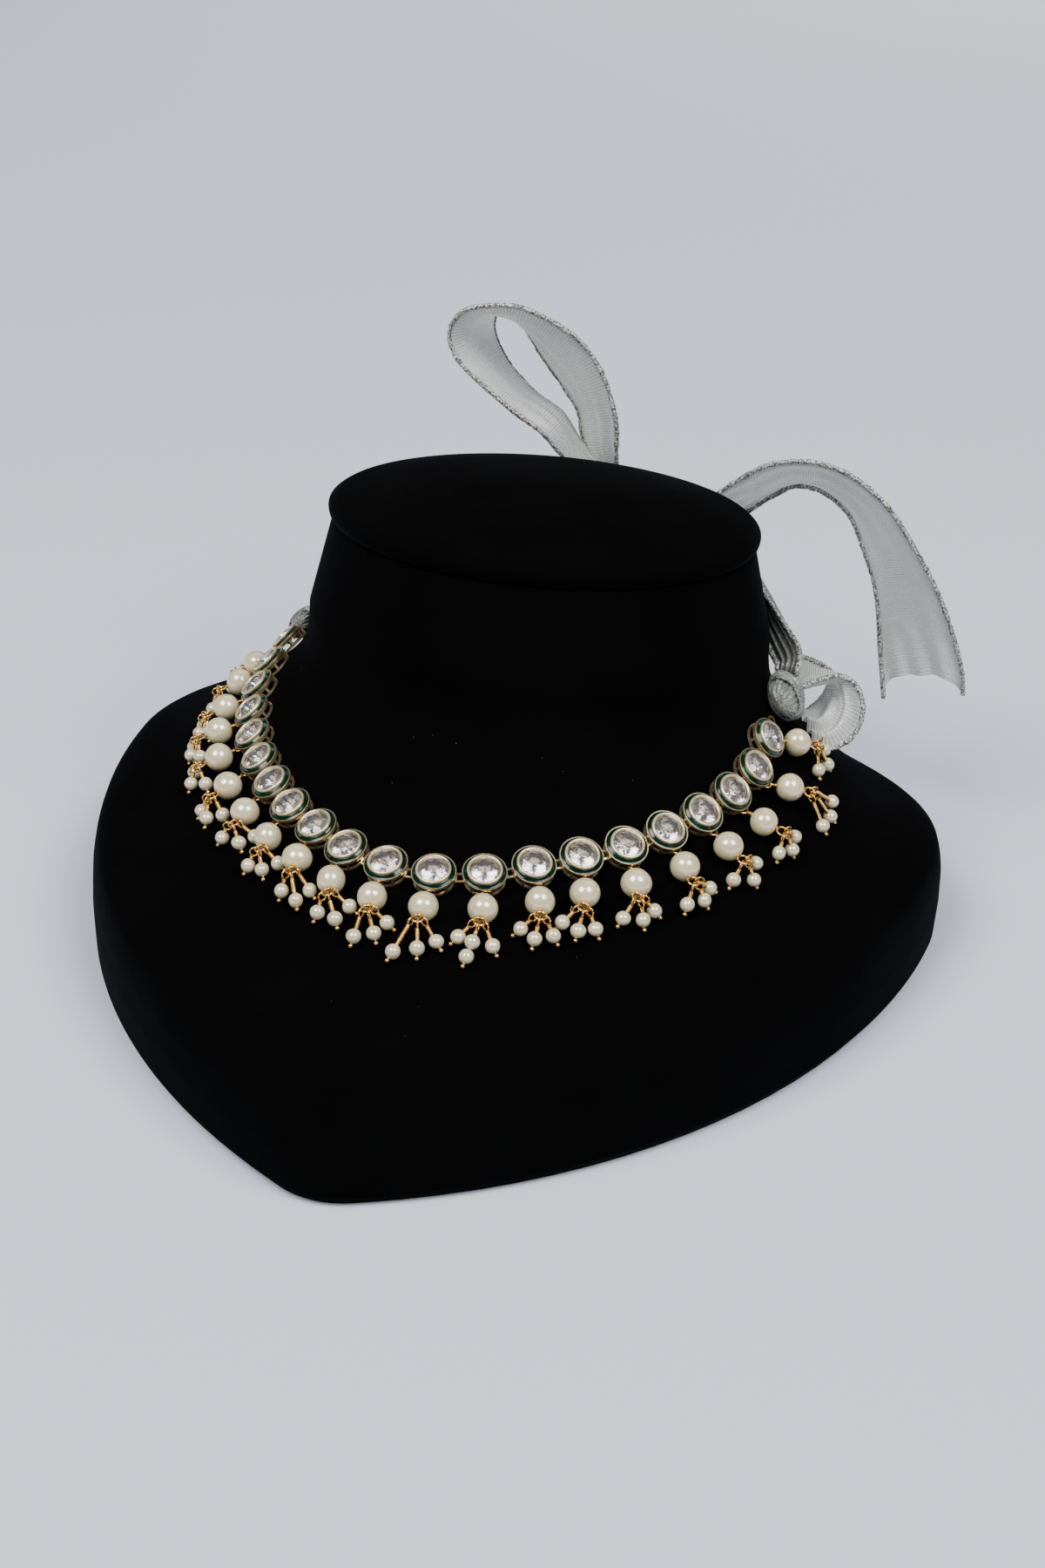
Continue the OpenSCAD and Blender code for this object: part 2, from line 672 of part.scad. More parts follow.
loop_rows = [
    [-0.05, 0, 4, 0.22], [-0.25, 0.15, 0, 0.6], [-0.39, 0.32, -4, 0.9], [-0.57, 0.43, -6, 1],
    [-0.76, 0.59, -2, 1], [-0.88, 0.74, 6, 1], [-0.91, 0.87, 12, 1], [-0.86, 0.96, 14, 1],
    [-0.75, 0.99, 18, 1], [-0.58, 0.95, 31, 1], [-0.36, 0.79, 46, 1], [-0.21, 0.62, 47, 1],
    [-0.1, 0.41, 42, 0.95], [-0.06, 0.2, 40, 0.85], [0.04, 0.02, 24, 0.4],
];
tail_rows = [
    [0, 0, 24, 0.4], [0.14, -0.01, 27, 0.7], [0.27, 0.05, 31, 0.9], [0.37, 0.13, 31, 1],
    [0.46, 0.19, 32, 1], [0.56, 0.205, 36, 1], [0.65, 0.18, 40, 1], [0.74, 0.115, 43, 1],
    [0.81, 0.01, 46, 1], [0.88, -0.125, 50, 1], [0.93, -0.26, 57, 1], [0.98, -0.41, 62, 1],
    [1, -0.51, 62, 1],
];

module bow_loop() {
    strip(flat_path(loop_rows, bow_o + [0, 3, bow_h / 2 + 0.3], loop_rise, -2), ribbon_t, 0.12);
}

module long_tail() {
    strip(flat_path(tail_rows, bow_o + [bow_w / 2 + 0.3, 2.5, -1], tail_reach, -3), ribbon_t, 0.1);
}

// Short end beside the right knot: [x, y, z as shares of the ribbon's width, width share, tilt]
end_rows = [
    [0.14, 0.09, 0.09, 0.3, 30], [0.34, 0.45, 0.24, 0.6, 28], [0.52, 0.72, 0.24, 0.7, 25],
    [0.68, 0.84, 0.1, 0.75, 20], [0.76, 0.88, -0.12, 0.75, 15], [0.74, 0.88, -0.36, 0.75, 12],
    [0.62, 0.84, -0.54, 0.75, 12],
];

module short_end() {
    m = knot_pose(20, 1);
    o = [m[0][3], m[1][3], m[2][3]];
    strip([for (r = end_rows)
        [o + [r[0], r[1], r[2]] * ribbon_w,
            [-0.5 * cos(r[4]), -0.85 * cos(r[4]), sin(r[4])] * ribbon_w / 2 * r[3]]], ribbon_t, 0.1);
}

// Parts list

module stones() {
    for (i = [0:20]) on_link(i) stone(i);
}
module enamel_rings() {
    for (i = [0:20]) on_link(i) enamel_ring();
}
module drop_wires() {
    for (i = [0:20]) drop_wire(i);
}
module head_pins() {
    for (i = [0:20]) for (k = [0:2]) head_pin(i, k);
}
module small_pearls() {
    for (i = [0:20]) for (k = [0:2]) small_pearl(i, k);
}
module end_loops() {
    end_loop(20, 1);
    end_loop(0, -1);
}

gold = [0.86, 0.7, 0.42];
fine_gold = [0.85, 0.58, 0.25];
velvet = [0.03, 0.03, 0.035];
cream = [0.9, 0.87, 0.78];
cloth = [0.66, 0.68, 0.68];
clear = [0.9, 0.9, 0.95];
green = [0, 0.2, 0.12];

color(velvet) bust_body();
color(velvet) bust_cap();
color(velvet) base_board();
for (i = [0:20]) {
    color(gold) setting(i);
    color(cream) pearl(i);
}
color(clear) stones();
color(green) enamel_rings();
color(fine_gold) drop_wires();
color(fine_gold) head_pins();
color(cream) small_pearls();
color(fine_gold) end_loops();
color(cloth) knot(20, 1);  // ribbon_knot_right
color(cloth) knot(0, -1);  // ribbon_knot_left
color(cloth) strand(20, 1, right_strand);  // ribbon_strand_right
color(cloth) strand(0, -1, left_strand);  // ribbon_strand_left
color(cloth) bow_knot();  // ribbon_bow_knot
color(cloth) bow_loop();  // ribbon_bow_loop
color(cloth) long_tail();  // ribbon_long_tail
color(cloth) short_end();  // ribbon_short_end
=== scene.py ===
import math

import bmesh
import bpy
import numpy as np
from mathutils import Matrix, Vector


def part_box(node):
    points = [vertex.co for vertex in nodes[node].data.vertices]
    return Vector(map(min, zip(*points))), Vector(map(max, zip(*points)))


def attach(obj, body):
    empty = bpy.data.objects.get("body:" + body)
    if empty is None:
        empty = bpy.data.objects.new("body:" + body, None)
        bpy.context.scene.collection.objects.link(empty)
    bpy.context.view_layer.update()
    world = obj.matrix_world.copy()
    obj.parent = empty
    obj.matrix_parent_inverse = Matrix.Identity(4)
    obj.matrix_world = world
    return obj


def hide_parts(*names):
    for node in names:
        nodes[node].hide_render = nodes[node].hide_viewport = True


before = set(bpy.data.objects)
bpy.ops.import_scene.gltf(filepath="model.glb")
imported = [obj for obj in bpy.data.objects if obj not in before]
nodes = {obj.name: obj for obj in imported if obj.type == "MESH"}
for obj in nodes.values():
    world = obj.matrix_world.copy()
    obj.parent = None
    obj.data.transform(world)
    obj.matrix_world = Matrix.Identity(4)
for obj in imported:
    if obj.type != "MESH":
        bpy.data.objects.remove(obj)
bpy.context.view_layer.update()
mm = 0.001
linkCount = 21
print("frame loaded:", len(nodes), "nodes")


# Vectors

def unit(v):
    return np.asarray(v, float) / np.linalg.norm(v)


def squareTo(v, n):
    v = np.asarray(v, float)
    return unit(v - n * np.dot(v, n))


def fromHeading(a):
    return np.array([math.cos(math.radians(a)), math.sin(math.radians(a))])


def catmullRom(a, b, c, d, u):
    # The curve from b to c at a share u of the way; a and d lie beyond them
    square, cube = 2 * a - 5 * b + 4 * c - d, 3 * b - a - 3 * c + d
    return 0.5 * (2 * b + (c - a) * u + square * u * u + cube * u ** 3)


def readCurve(points, places):
    # Curve through rows of numbers, read at places from 0 to 1
    p = np.asarray(points, float)
    n = len(p)
    t = np.clip(places, 0, 1) * (n - 1)
    i = np.minimum(t.astype(int), n - 2)
    return catmullRom(*(p[np.clip(i + k, 0, n - 1)] for k in (-1, 0, 1, 2)), (t - i)[:, None])


# Meshes

def addMesh(name, verts, faces, material, smooth=True):
    mesh = bpy.data.meshes.new(name)
    mesh.from_pydata([tuple(v) for v in verts], [], faces)
    mesh.update()
    obj = bpy.data.objects.new(name, mesh)
    bpy.context.collection.objects.link(obj)
    for m in material if isinstance(material, (list, tuple)) else [material]:
        mesh.materials.append(m)
    mesh.polygons.foreach_set("use_smooth", [smooth] * len(mesh.polygons))
    return obj


def gridFaces(rows, cols, closed=False):
    last = cols if closed else cols - 1
    return [(r * cols + c, r * cols + (c + 1) % cols, (r + 1) * cols + (c + 1) % cols, (r + 1) * cols + c)
            for r in range(rows - 1) for c in range(last)]


def endCaps(rows, cols):
    # Faces over the first and the last ring of a closed grid
    return [tuple(range(cols - 1, -1, -1)), tuple((rows - 1) * cols + k for k in range(cols))]


def seamFaces(rows, cols):
    # Faces from the last ring of a closed grid back to its first
    last = (rows - 1) * cols
    return [(last + k, last + (k + 1) % cols, (k + 1) % cols, k) for k in range(cols)]


def tubeMesh(path, radius, sides=8):
    # Points and faces of a round wire along a path; radius may be one number or one a point
    p = np.asarray(path, float)
    n = len(p)
    r = np.broadcast_to(radius, n)
    t = np.gradient(p, axis=0)
    t /= np.linalg.norm(t, axis=1)[:, None]
    side = np.cross(t[0], [0.31, 0.52, 0.79])
    verts = []
    for i in range(n):
        side = squareTo(side, t[i])
        up = np.cross(t[i], side)
        for k in range(sides):
            a = 2 * math.pi * k / sides
            verts.append(p[i] + r[i] * (side * math.cos(a) + up * math.sin(a)))
    return verts, gridFaces(n, sides, True) + endCaps(n, sides)


def joined(parts):
    verts, faces = [], []
    for v, f in parts:
        start = len(verts)
        verts.extend(v)
        faces.extend(tuple(k + start for k in face) for face in f)
    return verts, faces


def nodePoints(name):
    mesh = nodes[name].data
    co = np.zeros(len(mesh.vertices) * 3)
    mesh.vertices.foreach_get("co", co)
    return co.reshape(-1, 3)


def looseParts(name):
    # Loose solids of a node, each as an array of its own points
    mesh = nodes[name].data
    co = nodePoints(name)
    keys, where = np.unique(np.round(co * 1e6).astype(int), axis=0, return_inverse=True)
    where = where.ravel()
    parent = list(range(len(keys)))

    def root(i):
        while parent[i] != i:
            parent[i] = parent[parent[i]]
            i = parent[i]
        return i

    for edge in mesh.edges:
        a, b = root(where[edge.vertices[0]]), root(where[edge.vertices[1]])
        if a != b:
            parent[a] = b
    groups = {}
    for i, key in enumerate(keys):
        groups.setdefault(root(i), []).append(key / 1e6)
    return [np.array(g) for g in groups.values()]


def axisOf(points):
    # Centre and longest direction of a cloud of points
    c = points.mean(0)
    return c, np.linalg.svd(points - c, full_matrices=False)[2]


def ringAxis(points):
    # Centre and axis of a turned ring
    c, axes = axisOf(points)
    return c, axes[2]


def middleOf(name):
    lo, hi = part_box(name)
    return (np.array(lo) + np.array(hi)) / 2


def nearestTo(point, clouds, key=lambda c: c.mean(0)):
    return min(clouds, key=lambda c: np.linalg.norm(key(c) - point))


def dress(name, material):
    # A node of the part keeps its shape and gets a finish
    mesh = nodes[name].data
    mesh.materials.clear()
    mesh.materials.append(material)


# Materials

def newMaterial(name, **values):
    material = bpy.data.materials.new(name)
    material.use_nodes = True
    shader = material.node_tree.nodes["Principled BSDF"]
    for key, value in values.items():
        socket = shader.inputs[key.replace("_", " ")]
        coloured = hasattr(value, "__len__") and len(value) < len(socket.default_value)
        socket.default_value = (*value, 1) if coloured else value
    return material, material.node_tree, shader


def objectPlace(tree):
    return tree.nodes.new("ShaderNodeTexCoord").outputs["Object"]


def noiseAt(tree, scale, detail):
    n = tree.nodes.new("ShaderNodeTexNoise")
    n.inputs["Scale"].default_value = scale
    n.inputs["Detail"].default_value = detail
    tree.links.new(objectPlace(tree), n.inputs["Vector"])
    return n.outputs["Fac"]


def ramp(tree, source, stops):
    r = tree.nodes.new("ShaderNodeValToRGB")
    while len(r.color_ramp.elements) < len(stops):
        r.color_ramp.elements.new(0.5)
    for e, (pos, colour) in zip(r.color_ramp.elements, stops):
        e.position = pos
        e.color = (*colour, 1) if hasattr(colour, "__len__") else (colour, colour, colour, 1)
    tree.links.new(source, r.inputs["Fac"])
    return r.outputs["Color"]


def colourFrom(tree, source, stops, shader):
    tree.links.new(ramp(tree, source, stops), shader.inputs["Base Color"])


def bump(tree, source, distance, strength=1.0, under=None):
    b = tree.nodes.new("ShaderNodeBump")
    b.inputs["Distance"].default_value = distance
    b.inputs["Strength"].default_value = strength
    tree.links.new(source, b.inputs["Height"])
    if under:
        tree.links.new(under, b.inputs["Normal"])
    return b.outputs["Normal"]


def velvetFinish():
    m, tree, s = newMaterial("blackVelvet", Roughness=1.0, Sheen_Weight=0.016, Sheen_Roughness=0.3,
                             Specular_IOR_Level=0.03, Sheen_Tint=(0.7, 0.75, 0.85))
    nap = noiseAt(tree, 38, 4)
    colourFrom(tree, nap, [(0.3, (0.0007, 0.0007, 0.0008)), (0.7, (0.0016, 0.0016, 0.0018))], s)
    pile = bump(tree, noiseAt(tree, 2600, 2), 0.00012, 0.5)
    tree.links.new(bump(tree, noiseAt(tree, 160, 3), 0.0004, 0.3, pile), s.inputs["Normal"])
    return m


def goldFinish(name, colour, roughness, wear, metal=1.0):
    m, tree, s = newMaterial(name, Metallic=metal)
    darker = tuple(c * 0.72 for c in colour)
    colourFrom(tree, noiseAt(tree, 900, 4), [(0.3, darker), (0.55, colour)], s)
    worn = ramp(tree, noiseAt(tree, 2400, 3), [(0.3, roughness), (0.75, roughness + wear)])
    tree.links.new(worn, s.inputs["Roughness"])
    hammer = bump(tree, noiseAt(tree, 1100, 2), 0.00006, 0.5)
    tree.links.new(bump(tree, noiseAt(tree, 6000, 2), 0.000015, 0.4, hammer), s.inputs["Normal"])
    return m


def enamelFinish():
    m, tree, s = newMaterial("greenEnamel", Roughness=0.16, Specular_IOR_Level=0.3, Coat_Weight=0.35,
                             Coat_Roughness=0.05)
    # Painted glint: the lightest, teal tone, at the noise's rare high spots, stands for glints of light on
    # the enamel; the two darker greens are its own uneven colour.
    greensAndPaintedGlint = [(0.35, (0.0004, 0.007, 0.003)), (0.6, (0.0008, 0.018, 0.009)), (0.76, (0.001, 0.06, 0.036))]
    colourFrom(tree, noiseAt(tree, 420, 3), greensAndPaintedGlint, s)
    tree.links.new(bump(tree, noiseAt(tree, 1500, 2), 0.00003, 0.6), s.inputs["Normal"])
    return m


def pearlFinish(name, warm, cool, roughness):
    m, tree, s = newMaterial(name, Coat_Weight=1.0, Coat_Roughness=0.17, Coat_IOR=2.7,
                             Coat_Tint=(0.93, 0.87, 0.68), Specular_IOR_Level=0.5)
    colourFrom(tree, noiseAt(tree, 260, 3), [(0.3, warm), (0.7, cool)], s)
    lustre = ramp(tree, noiseAt(tree, 700, 3), [(0.3, roughness), (0.7, roughness + 0.1)])
    tree.links.new(lustre, s.inputs["Roughness"])
    tree.links.new(bump(tree, noiseAt(tree, 380, 2), 0.00012, 0.35), s.inputs["Normal"])
    return m


def boardFinish():
    m, tree, s = newMaterial("boardCloth", Roughness=0.9, Specular_IOR_Level=0.15)
    colourFrom(tree, noiseAt(tree, 60, 4), [(0.3, (0.003, 0.003, 0.003)), (0.7, (0.007, 0.007, 0.008))], s)
    tree.links.new(bump(tree, noiseAt(tree, 1800, 3), 0.00015, 0.6), s.inputs["Normal"])
    return m


def glassFinish():
    m, tree, s = newMaterial("stoneGlass", Transmission_Weight=1.0, Roughness=0.0, IOR=1.8)
    colourFrom(tree, noiseAt(tree, 300, 2), [(0.3, (0.99, 0.965, 0.965)), (0.7, (1.0, 0.985, 0.98))], s)
    return m


def foilFinish():
    m, tree, s = newMaterial("stoneFoil", Metallic=0.85, Roughness=0.13)
    colourFrom(tree, noiseAt(tree, 700, 2), [(0.3, (0.72, 0.68, 0.7)), (0.7, (0.93, 0.9, 0.9))], s)
    return m


def mathNode(tree, operation, first, second=None):
    n = tree.nodes.new("ShaderNodeMath")
    n.operation = operation
    for k, value in enumerate((first, second)):
        if hasattr(value, "links"):
            tree.links.new(value, n.inputs[k])
        elif value is not None:
            n.inputs[k].default_value = value
    return n.outputs[0]


weaveLook = {"threadsAcross": 900, "threadsAlong": 430, "looseSize": 2300, "borderFrom": 0.0072,
             "borderTo": 0.0116, "sheer": 0.4, "cloudy": 0.12, "glint": (0.95, 0.95, 0.93, 1)}


def threads(tree, uv, direction, scale):
    w = tree.nodes.new("ShaderNodeTexWave")
    w.bands_direction = direction
    w.inputs["Scale"].default_value = scale
    w.inputs["Distortion"].default_value = 0.5
    w.inputs["Detail"].default_value = 1
    tree.links.new(uv, w.inputs["Vector"])
    return w.outputs["Fac"]


def mixedShaders(tree, share, first, second):
    # share: a number, or a socket to read it from
    mix = tree.nodes.new("ShaderNodeMixShader")
    if hasattr(share, "links"):
        tree.links.new(share, mix.inputs["Fac"])
    else:
        mix.inputs["Fac"].default_value = share
    tree.links.new(first, mix.inputs[1])
    tree.links.new(second, mix.inputs[2])
    return mix.outputs["Shader"]


def wovenCover(tree, uv, weave, cover):
    # How much the cloth hides: more in the threads than between them, and all of it towards the borders
    parts = tree.nodes.new("ShaderNodeSeparateXYZ")
    tree.links.new(uv, parts.inputs[0])
    border = tree.nodes.new("ShaderNodeMapRange")
    border.inputs["From Min"].default_value = weaveLook["borderFrom"]
    border.inputs["From Max"].default_value = weaveLook["borderTo"]
    tree.links.new(mathNode(tree, "ABSOLUTE", parts.outputs["X"]), border.inputs["Value"])
    woven = mathNode(tree, "ADD", mathNode(tree, "MULTIPLY", weave, cover[1] - cover[0]), cover[0])
    cloudy = mathNode(tree, "MULTIPLY", noiseAt(tree, 120, 2), weaveLook["cloudy"])
    return mathNode(tree, "MAXIMUM", mathNode(tree, "ADD", woven, cloudy), border.outputs["Result"])


def ribbonFinish(name, light, dark, cover, glitterSize, glitterShare, creviceShade=0.0, loose=False):
    # Organza, read from the cloth's own coordinates in metres
    # cover: how much the gaps and the threads hide of what is behind
    # The argument after glitterShare sets how strongly painted shade darkens the cloth's crevices.
    m, tree, s = newMaterial(name, Metallic=0.25, Sheen_Weight=0.3, Sheen_Roughness=0.35)
    flatPlace = tree.nodes.new("ShaderNodeUVMap")
    flatPlace.uv_map = "cloth"
    uv = flatPlace.outputs["UV"]
    if loose:
        weave = ramp(tree, noiseAt(tree, weaveLook["looseSize"], 2), [(0.4, 0.0), (0.62, 1.0)])
    else:
        weave = mathNode(tree, "MAXIMUM", threads(tree, uv, "X", weaveLook["threadsAcross"]),
                         threads(tree, uv, "Y", weaveLook["threadsAlong"]))
    glitter = tree.nodes.new("ShaderNodeTexVoronoi")
    glitter.inputs["Scale"].default_value = glitterSize
    tree.links.new(objectPlace(tree), glitter.inputs["Vector"])
    spark = ramp(tree, glitter.outputs["Distance"], [(0.12, 1.0), (0.3, 0.0)])
    form = tree.nodes.new("ShaderNodeNewGeometry")

    # Painted shade: the colour is mixed towards a near black copy of the dark tone where the mesh's
    # pointiness is low, in its crevices and folds, where shade falls.
    shade = tree.nodes.new("ShaderNodeMix")
    mix = tree.nodes.new("ShaderNodeMix")
    mix.data_type = shade.data_type = "RGBA"
    paintedCreviceShade = ramp(tree, form.outputs["Pointiness"], [(0.42, creviceShade), (0.5, 0.0)])
    tree.links.new(paintedCreviceShade, shade.inputs["Factor"])
    tree.links.new(ramp(tree, weave, [(0.25, dark), (0.95, light)]), shade.inputs["A"])
    shade.inputs["B"].default_value = (*(c * 0.18 for c in dark), 1)
    tree.links.new(mathNode(tree, "MULTIPLY", spark, glitterShare), mix.inputs["Factor"])
    tree.links.new(shade.outputs["Result"], mix.inputs["A"])
    mix.inputs["B"].default_value = weaveLook["glint"]
    tree.links.new(mix.outputs["Result"], s.inputs["Base Color"])
    tree.links.new(ramp(tree, glitter.outputs["Color"], [(0.2, 0.18), (0.8, 0.5)]), s.inputs["Roughness"])
    weaveBump = bump(tree, weave, 0.00005, 0.7)
    tree.links.new(bump(tree, glitter.outputs["Distance"], 0.0001, 0.6, weaveBump), s.inputs["Normal"])

    sheer = cover[0] < 1
    through = tree.nodes.new("ShaderNodeBsdfTranslucent")
    tree.links.new(mix.outputs["Result"], through.inputs["Color"])
    share = weaveLook["sheer"] if sheer else 0.0
    surface = mixedShaders(tree, share, s.outputs["BSDF"], through.outputs["BSDF"])
    if sheer:
        clear = tree.nodes.new("ShaderNodeBsdfTransparent")
        surface = mixedShaders(tree, wovenCover(tree, uv, weave, cover), clear.outputs["BSDF"], surface)
    tree.links.new(surface, tree.nodes["Material Output"].inputs["Surface"])
    return m


velvet = velvetFinish()
paleGold = goldFinish("paleGold", (0.99, 0.83, 0.5), 0.25, 0.12, 0.95)
bezelGold = goldFinish("bezelGold", (1.0, 0.88, 0.54), 0.26, 0.1, 0.72)
fineGold = goldFinish("fineGold", (0.87, 0.52, 0.15), 0.2, 0.12)
enamel = enamelFinish()
pearlSkin = pearlFinish("pearlSkin", (0.78, 0.7, 0.52), (0.88, 0.83, 0.68), 0.24)
seedSkin = pearlFinish("smallPearlSkin", (0.74, 0.67, 0.52), (0.85, 0.81, 0.68), 0.26)
boardCloth = boardFinish()
stoneGlass = glassFinish()
stoneFoil = foilFinish()
organza = ribbonFinish("organza", (0.97, 0.98, 0.95), (0.36, 0.37, 0.34), (0.34, 0.92), 1500, 0.7)
# Painted shade: a darker, opaque copy of the organza for the same ribbon where it is knotted and gathered,
# with painted shade in its crevices as well.
shadedOrganza = ribbonFinish("shadedOrganza", (0.27, 0.28, 0.26), (0.1, 0.104, 0.098), (1, 1), 1900, 0.7,
                              creviceShade=0.2)
selvedgeThread = ribbonFinish("selvedgeThread", (0.72, 0.72, 0.68), (0.06, 0.06, 0.052), (1, 1), 1900, 0.8,
                              loose=True)
print("finishes made")


# The bust's skin, from the part's own sizes

bust = {
    "width": 224, "reach": 146, "height": 103, "edge": 26, "neckRoot": 74,
    "neckHalf": (60.5, 52), "neckTaper": (6, 3.5), "neckY": 10, "neckLean": 4.5, "rimTilt": -0.08,
    "tipRadius": 20, "shoulderRadius": 50, "shoulderY": 8, "sideRadius": 180, "backRadius": 300,
    "dome": 6, "cap": 5.5, "board": 2.5,
}
# How much of a section is the base outline and not the neck, up the chest
flareShares = [0.965, 0.7, 0.49, 0.34, 0.21, 0.1, 0.03, 0.005, 0]
# The rounded edge: [share of its height, share of the outline]
edgeShares = [[0, 0.985], [0.1, 1], [0.45, 1.004], [0.75, 0.996], [0.9, 0.983], [1, 0.965]]
# The cap: [share of its side's height, share of its dome, share of the neck's outline]
capRows = [[0, 0, 0.975], [0.14, 0, 1.01], [0.6, 0, 1.02], [0.9, 0, 0.995], [1, 0.1, 0.94],
           [1, 0.6, 0.68], [1, 0.92, 0.34], [1, 1, 0.1], [1, 1.01, 0.0]]


def touchingArc(a, ra, b, rb, r):
    d = np.linalg.norm(b - a)
    m = ((r - ra) ** 2 - (r - rb) ** 2 + d * d) / (2 * d)
    h = math.sqrt((r - ra) ** 2 - m * m)
    u = (b - a) / d
    return a + u * m + np.array([-u[1], u[0]]) * h


def headingOf(v):
    return math.degrees(math.atan2(v[1], v[0]))


tipCentre = np.array([0, bust["tipRadius"] - bust["reach"]], float)
shoulderCentre = np.array([bust["width"] / 2 - bust["shoulderRadius"], bust["shoulderY"]], float)
sideCentre = touchingArc(tipCentre, bust["tipRadius"], shoulderCentre, bust["shoulderRadius"],
                         bust["sideRadius"])
backCentre = touchingArc(shoulderCentre, bust["shoulderRadius"], shoulderCentre * [-1, 1],
                         bust["shoulderRadius"], bust["backRadius"])
sideFrom, sideTo = headingOf(tipCentre - sideCentre), headingOf(shoulderCentre - sideCentre)
backFrom = headingOf(shoulderCentre - backCentre)


def outlinePoint(a):
    b = (a + 450) % 360 - 90
    h = 180 - b if b > 90 else b
    if h < sideFrom:
        q = tipCentre + bust["tipRadius"] * fromHeading(h)
    elif h < sideTo:
        q = sideCentre + bust["sideRadius"] * fromHeading(h)
    elif h < backFrom:
        q = shoulderCentre + bust["shoulderRadius"] * fromHeading(h)
    else:
        q = backCentre + bust["backRadius"] * fromHeading(h)
    return np.array([-q[0] if b > 90 else q[0], q[1]])


def smoothRow(row, s):
    x = min(max(s, 0), 1) * (len(row) - 1)
    i = min(int(x), len(row) - 2)
    return catmullRom(*(row[min(max(i + k, 0), len(row) - 1)] for k in (-1, 0, 1, 2)), x - i)


def skinPoint(q):
    # Millimetres, for q = (heading of the skin's normal, height)
    a, z = q
    top = bust["height"] - bust["cap"]
    rise = min(max((z - bust["neckRoot"]) / (top - bust["neckRoot"]), 0), 1)
    if z < bust["edge"]:
        heights, shares = zip(*edgeShares)
        out = float(np.interp(z / bust["edge"], heights, shares))
    else:
        out = smoothRow(flareShares, (z - bust["edge"]) / (bust["neckRoot"] - bust["edge"]))
    rx, ry = (h - t * rise for h, t in zip(bust["neckHalf"], bust["neckTaper"]))
    n = fromHeading(a)
    neck = np.array([rx * rx * n[0], ry * ry * n[1]]) / math.hypot(rx * n[0], ry * n[1])
    y0 = bust["neckY"] + bust["neckLean"] * z / bust["height"]
    xy = neck * (1 - out) + outlinePoint(a) * out + np.array([0, y0 * (1 - out)])
    return np.array([xy[0], xy[1], z + bust["rimTilt"] * (xy[1] - y0) * (z / bust["height"]) ** 2])


def skinNormal(q):
    o = skinPoint(q)
    return unit(np.cross(skinPoint((q[0] + 0.5, q[1])) - o, skinPoint((q[0], q[1] + 0.5)) - o))


def above(q, h):
    return skinPoint(q) + skinNormal(q) * h


def slide(q, w, steps=4):
    q, w = np.array(q, float), np.array(w, float) / steps
    for _ in range(steps):
        o = skinPoint(q)
        ta, tz = skinPoint((q[0] + 1, q[1])) - o, skinPoint((q[0], q[1] + 1)) - o
        m = np.array([[ta @ ta, ta @ tz], [ta @ tz, tz @ tz]])
        q = q + np.linalg.solve(m, [w @ ta, w @ tz])
    return q


# Velvet bust: the covered body, the padded cap and its seam

bodyTop = bust["height"] - bust["cap"]
velvetLook = {"headings": 300, "edgeRows": 22, "chestRows": 54, "neckRows": 22, "turnUnder": 0.8,
              "capRows": 60, "gap": 0.05}


def bustHeadings(count):
    # Evenly spaced along the base outline, so that the long sides get their share
    fine = np.linspace(-90, 270, 2881)
    pts = np.array([skinPoint((a, 8)) for a in fine])
    run = np.concatenate([[0], np.cumsum(np.linalg.norm(np.diff(pts, axis=0), axis=1))])
    return np.interp(np.linspace(0, run[-1], count, endpoint=False), run, fine)


def bustRing(z, angles, share=1.0):
    centre = np.array([0, bust["neckY"] + bust["neckLean"] * z / bust["height"], z])
    return [centre + (skinPoint((a, z)) - centre) * share for a in angles]


def closedSkin(name, rows):
    cols = len(rows[0])
    verts = np.array(rows).reshape(-1, 3) * mm
    return addMesh(name, verts, gridFaces(len(rows), cols, True) + endCaps(len(rows), cols), velvet)


def velvetBody():
    p = velvetLook
    angles = bustHeadings(p["headings"])
    low, edge, root = bust["board"] + p["gap"], bust["edge"], bust["neckRoot"]
    s = np.linspace(0, 1, p["edgeRows"])
    heights = list(low + (edge - low) * (0.5 * s ** 2 + 0.5 * s))
    heights += list(np.linspace(edge, root, p["chestRows"])[1:])
    heights += list(np.linspace(root, bodyTop, p["neckRows"])[1:])
    rows = [bustRing(low, angles, k) for k in (0.5, p["turnUnder"], 0.95)]
    rows += [bustRing(z, angles) for z in heights]
    rows += [bustRing(bodyTop, angles, k) for k in (0.96, 0.9, 0.5)]
    return closedSkin("velvetBust", rows)


def velvetCap():
    p = velvetLook
    angles = bustHeadings(p["headings"])
    rows = []
    for rise, domed, share in readCurve(capRows, np.linspace(0, 1, p["capRows"])):
        lift = p["gap"] + (bust["cap"] - p["gap"]) * min(rise, 1) + bust["dome"] * max(domed, 0)
        rows.append([q + [0, 0, lift] for q in bustRing(bodyTop, angles, max(share, 0.001))])
    return closedSkin("velvetCap", rows)


body = velvetBody()
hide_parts("bust_body")
cap = velvetCap()
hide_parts("bust_cap")
for piece in (body, cap):
    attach(piece, "root")
dress("base_board", boardCloth)
print("bust covered")


# Places of the links, read from the part's enamel rings

